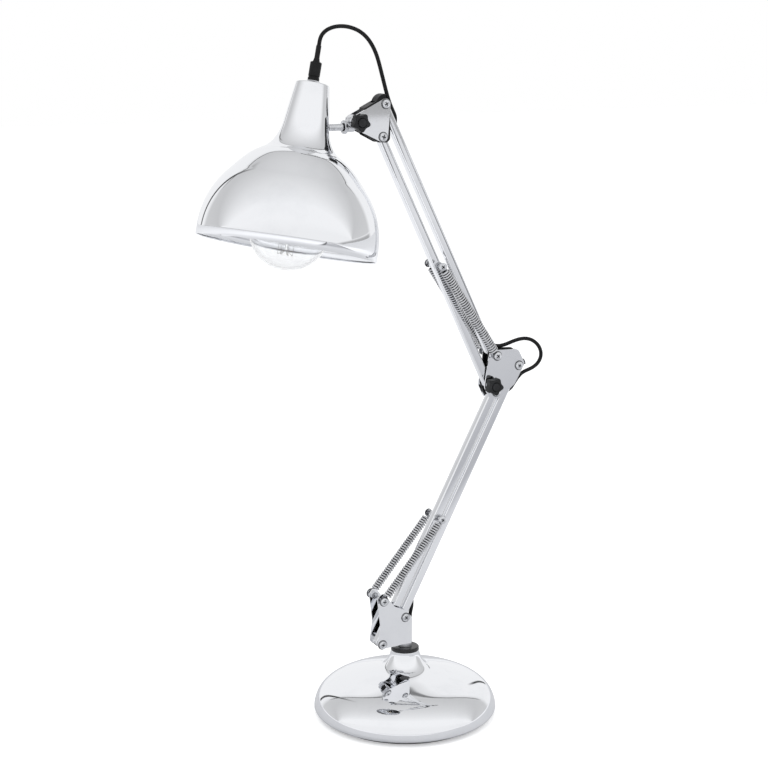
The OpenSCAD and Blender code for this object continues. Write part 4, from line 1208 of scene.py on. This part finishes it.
# Studio: a pale floor, two soft lamps, and surroundings that the chrome mirrors
studio = {
    "keyLamp": ((-1.2, -1.4, 2.4), (1.6, 1.6), 26),
    "fillLamp": ((1.9, -0.6, 1.7), (1.2, 1.6), 12),
    "target": (0, 0, 0.3),
    "floor": 9.0,
    "white": colour(0.92, 0.92, 0.92),
    "lift": colour(0.32, 0.32, 0.32),
    "mirroredLift": colour(0.02, 0.02, 0.02),
    "mirroredNear": colour(0.6, 0.605, 0.62),
    "mirroredBright": colour(0.92, 0.925, 0.94),
    "mirroredGrey": colour(0.42, 0.425, 0.445),
    "mirroredDark": colour(0.14, 0.14, 0.15),
    "brightFrom": (0.4, 0.9),
    "greyFrom": (0.42, 0.95),
    "greyTo": (4.2, 1.2),
    "greyWay": (0.426, -0.881, 0.0),
    "greyAcross": (0.881, 0.426, 0.0),
    "laneMiddle": 0.04,
    "laneEdge": (0.3, 0.25),
    "stripIn": (0.25, 0.29),
    "stripOut": (0.4, 0.34),
    "front": (-0.435, -0.9, 0.0),
    "right": (0.9, -0.435, 0.0),
    "over": [(0.0, 0.96), (0.1, 0.96), (0.18, 1.0), (0.3, 1.0), (0.42, 0.87), (0.55, 0.74),
             (0.7, 0.63), (1.0, 0.68)],
    "gap": [(0.0, 0.9), (0.012, 0.92), (0.024, 1.0)],
    "beside": (0.45, 0.8),
    "below": 0.45,
    "belowFrom": (0.0, -0.03),
    "behind": 0.97,
    "behindFrom": (-0.56, -0.66),
    # each line's turn, half its width and the heights between which it fades out
    "lines": ((-2.42, 0.04, (0.8, 0.6)), (2.78, 0.022, (0.45, 0.35))),
    "line": 0.06,
    "edge": 0.22,
    "edgeAt": -0.595,
    "edgeWidth": (0.014, 0.006),
    "edgeFrom": (0.35, 0.5),
    "sky": colour(0.985, 0.99, 1.0),
}


# A rectangle of light that aims at the target and isn't mirrored
def areaLamp(name):
    place, size, power = studio[name]
    lamp = bpy.data.objects.new(name, bpy.data.lights.new(name, "AREA"))
    bpy.context.scene.collection.objects.link(lamp)
    lamp.data.shape = "RECTANGLE"
    lamp.data.size, lamp.data.size_y = size
    lamp.data.energy = power
    lamp.location = place
    way = Vector(studio["target"]) - Vector(place)
    lamp.rotation_euler = way.to_track_quat("-Z", "Y").to_euler()
    lamp.visible_glossy = False


# Floor: white to the eye and with the lamp's shadow
def makeFloor():
    half = studio["floor"]
    points = [(-half, -half, 0), (half, -half, 0), (half, half, 0), (-half, half, 0)]
    mesh = bpy.data.meshes.new("floor")
    mesh.from_pydata(points, [], [[0, 1, 2, 3]])
    floor = bpy.data.objects.new("floor", mesh)
    bpy.context.scene.collection.objects.link(floor)
    mesh.materials.append(finish("paleFloor", floorBuild, Roughness=0.9, Emission_Strength=1.0,
                                 Specular_IOR_Level=0.0))


# Mirrored, the floor is near-white from brightFrom on, with a lane along greyWay that greys
# and then fades with the distance beyond, and a dark strip at each side of the lane
def floorBuild(s):
    glossy = s.add("ShaderNodeLightPath", {}, out=3)
    mirrored = glossy * (1.0 - s.add("ShaderNodeLightPath", {}, out=6))
    place = s.place()
    beyond = s.along(place, studio["greyWay"])
    bright = s.spread(s.distance(place), *studio["brightFrom"])
    off = (s.along(place, studio["greyAcross"]) - studio["laneMiddle"]).math("ABSOLUTE")
    begun = s.spread(beyond, *studio["greyFrom"])
    grey = begun * s.spread(beyond, *studio["greyTo"]) * s.spread(off, *studio["laneEdge"])
    strip = begun * s.spread(off, *studio["stripIn"]) * s.spread(off, *studio["stripOut"])
    greyed = s.mix(bright, studio["mirroredNear"], studio["mirroredBright"])
    greyed = s.mix(grey, greyed, studio["mirroredGrey"])
    greyed = s.mix(strip, greyed, studio["mirroredDark"])
    return {
        "Base_Color": s.mix(mirrored, studio["white"], greyed),
        "Emission_Color": s.mix(mirrored, studio["lift"], studio["mirroredLift"]),
    }


# World: rise = atan2(up, front) / pi goes from the front horizon over the top to the back,
# and turn = atan2(right, front) goes round. A faint gap stays low in front, and two dark lines
# and an edge stand behind. Each part is sky + share (tone - sky).
def makeWorld():
    world = bpy.data.worlds.new("studio")
    bpy.context.scene.world = world
    world.use_nodes = True
    tree = world.node_tree
    s = Sheet(tree)
    way = s.add("ShaderNodeTexCoord", {}, out=0)
    up = s.add("ShaderNodeSeparateXYZ", {}, way, out=2)
    front = s.along(way, studio["front"])
    right = s.along(way, studio["right"])
    rise = up.math("ARCTAN2", front) / math.pi
    turn = right.math("ARCTAN2", front)
    inside = s.ramp(rise, studio["over"])
    gap = s.ramp(rise, studio["gap"])
    beside = s.spread(turn.math("ABSOLUTE"), *studio["beside"])
    sky = inside * (gap + beside * (1.0 - gap))
    sky = sky + s.spread(up, *studio["belowFrom"]) * (studio["below"] - sky)
    sky = sky + s.spread(front, *studio["behindFrom"]) * (studio["behind"] - sky)
    for place, half, heights in studio["lines"]:
        off = (turn - place).math("ABSOLUTE")
        line = s.spread(off, half, half * 0.5) * s.spread(up, *heights)
        sky = sky + line * (studio["line"] - sky)
    edge = s.spread((front - studio["edgeAt"]).math("ABSOLUTE"), *studio["edgeWidth"]) \
        * s.spread(up, *studio["edgeFrom"])
    sky = sky + edge * (studio["edge"] - sky)
    mirrored = s.add("ShaderNodeBackground", {}, Strength=1.0,
                     Color=s.mix(sky, colour(0, 0, 0), studio["sky"]))
    plain = s.add("ShaderNodeBackground", {}, Color=colour(1, 1, 1), Strength=1.0)
    eye = s.add("ShaderNodeLightPath", {}, out=0)
    through = s.add("ShaderNodeLightPath", {}, out=6)
    shown = s.add("ShaderNodeMixShader", {}, eye.math("MAXIMUM", through), mirrored, plain)
    s.put(tree.nodes["World Output"].inputs[0], shown)


makeFloor()
makeWorld()
areaLamp("keyLamp")
areaLamp("fillLamp")
bpy.context.scene.view_settings.view_transform = "Standard"
print("stage: finished")
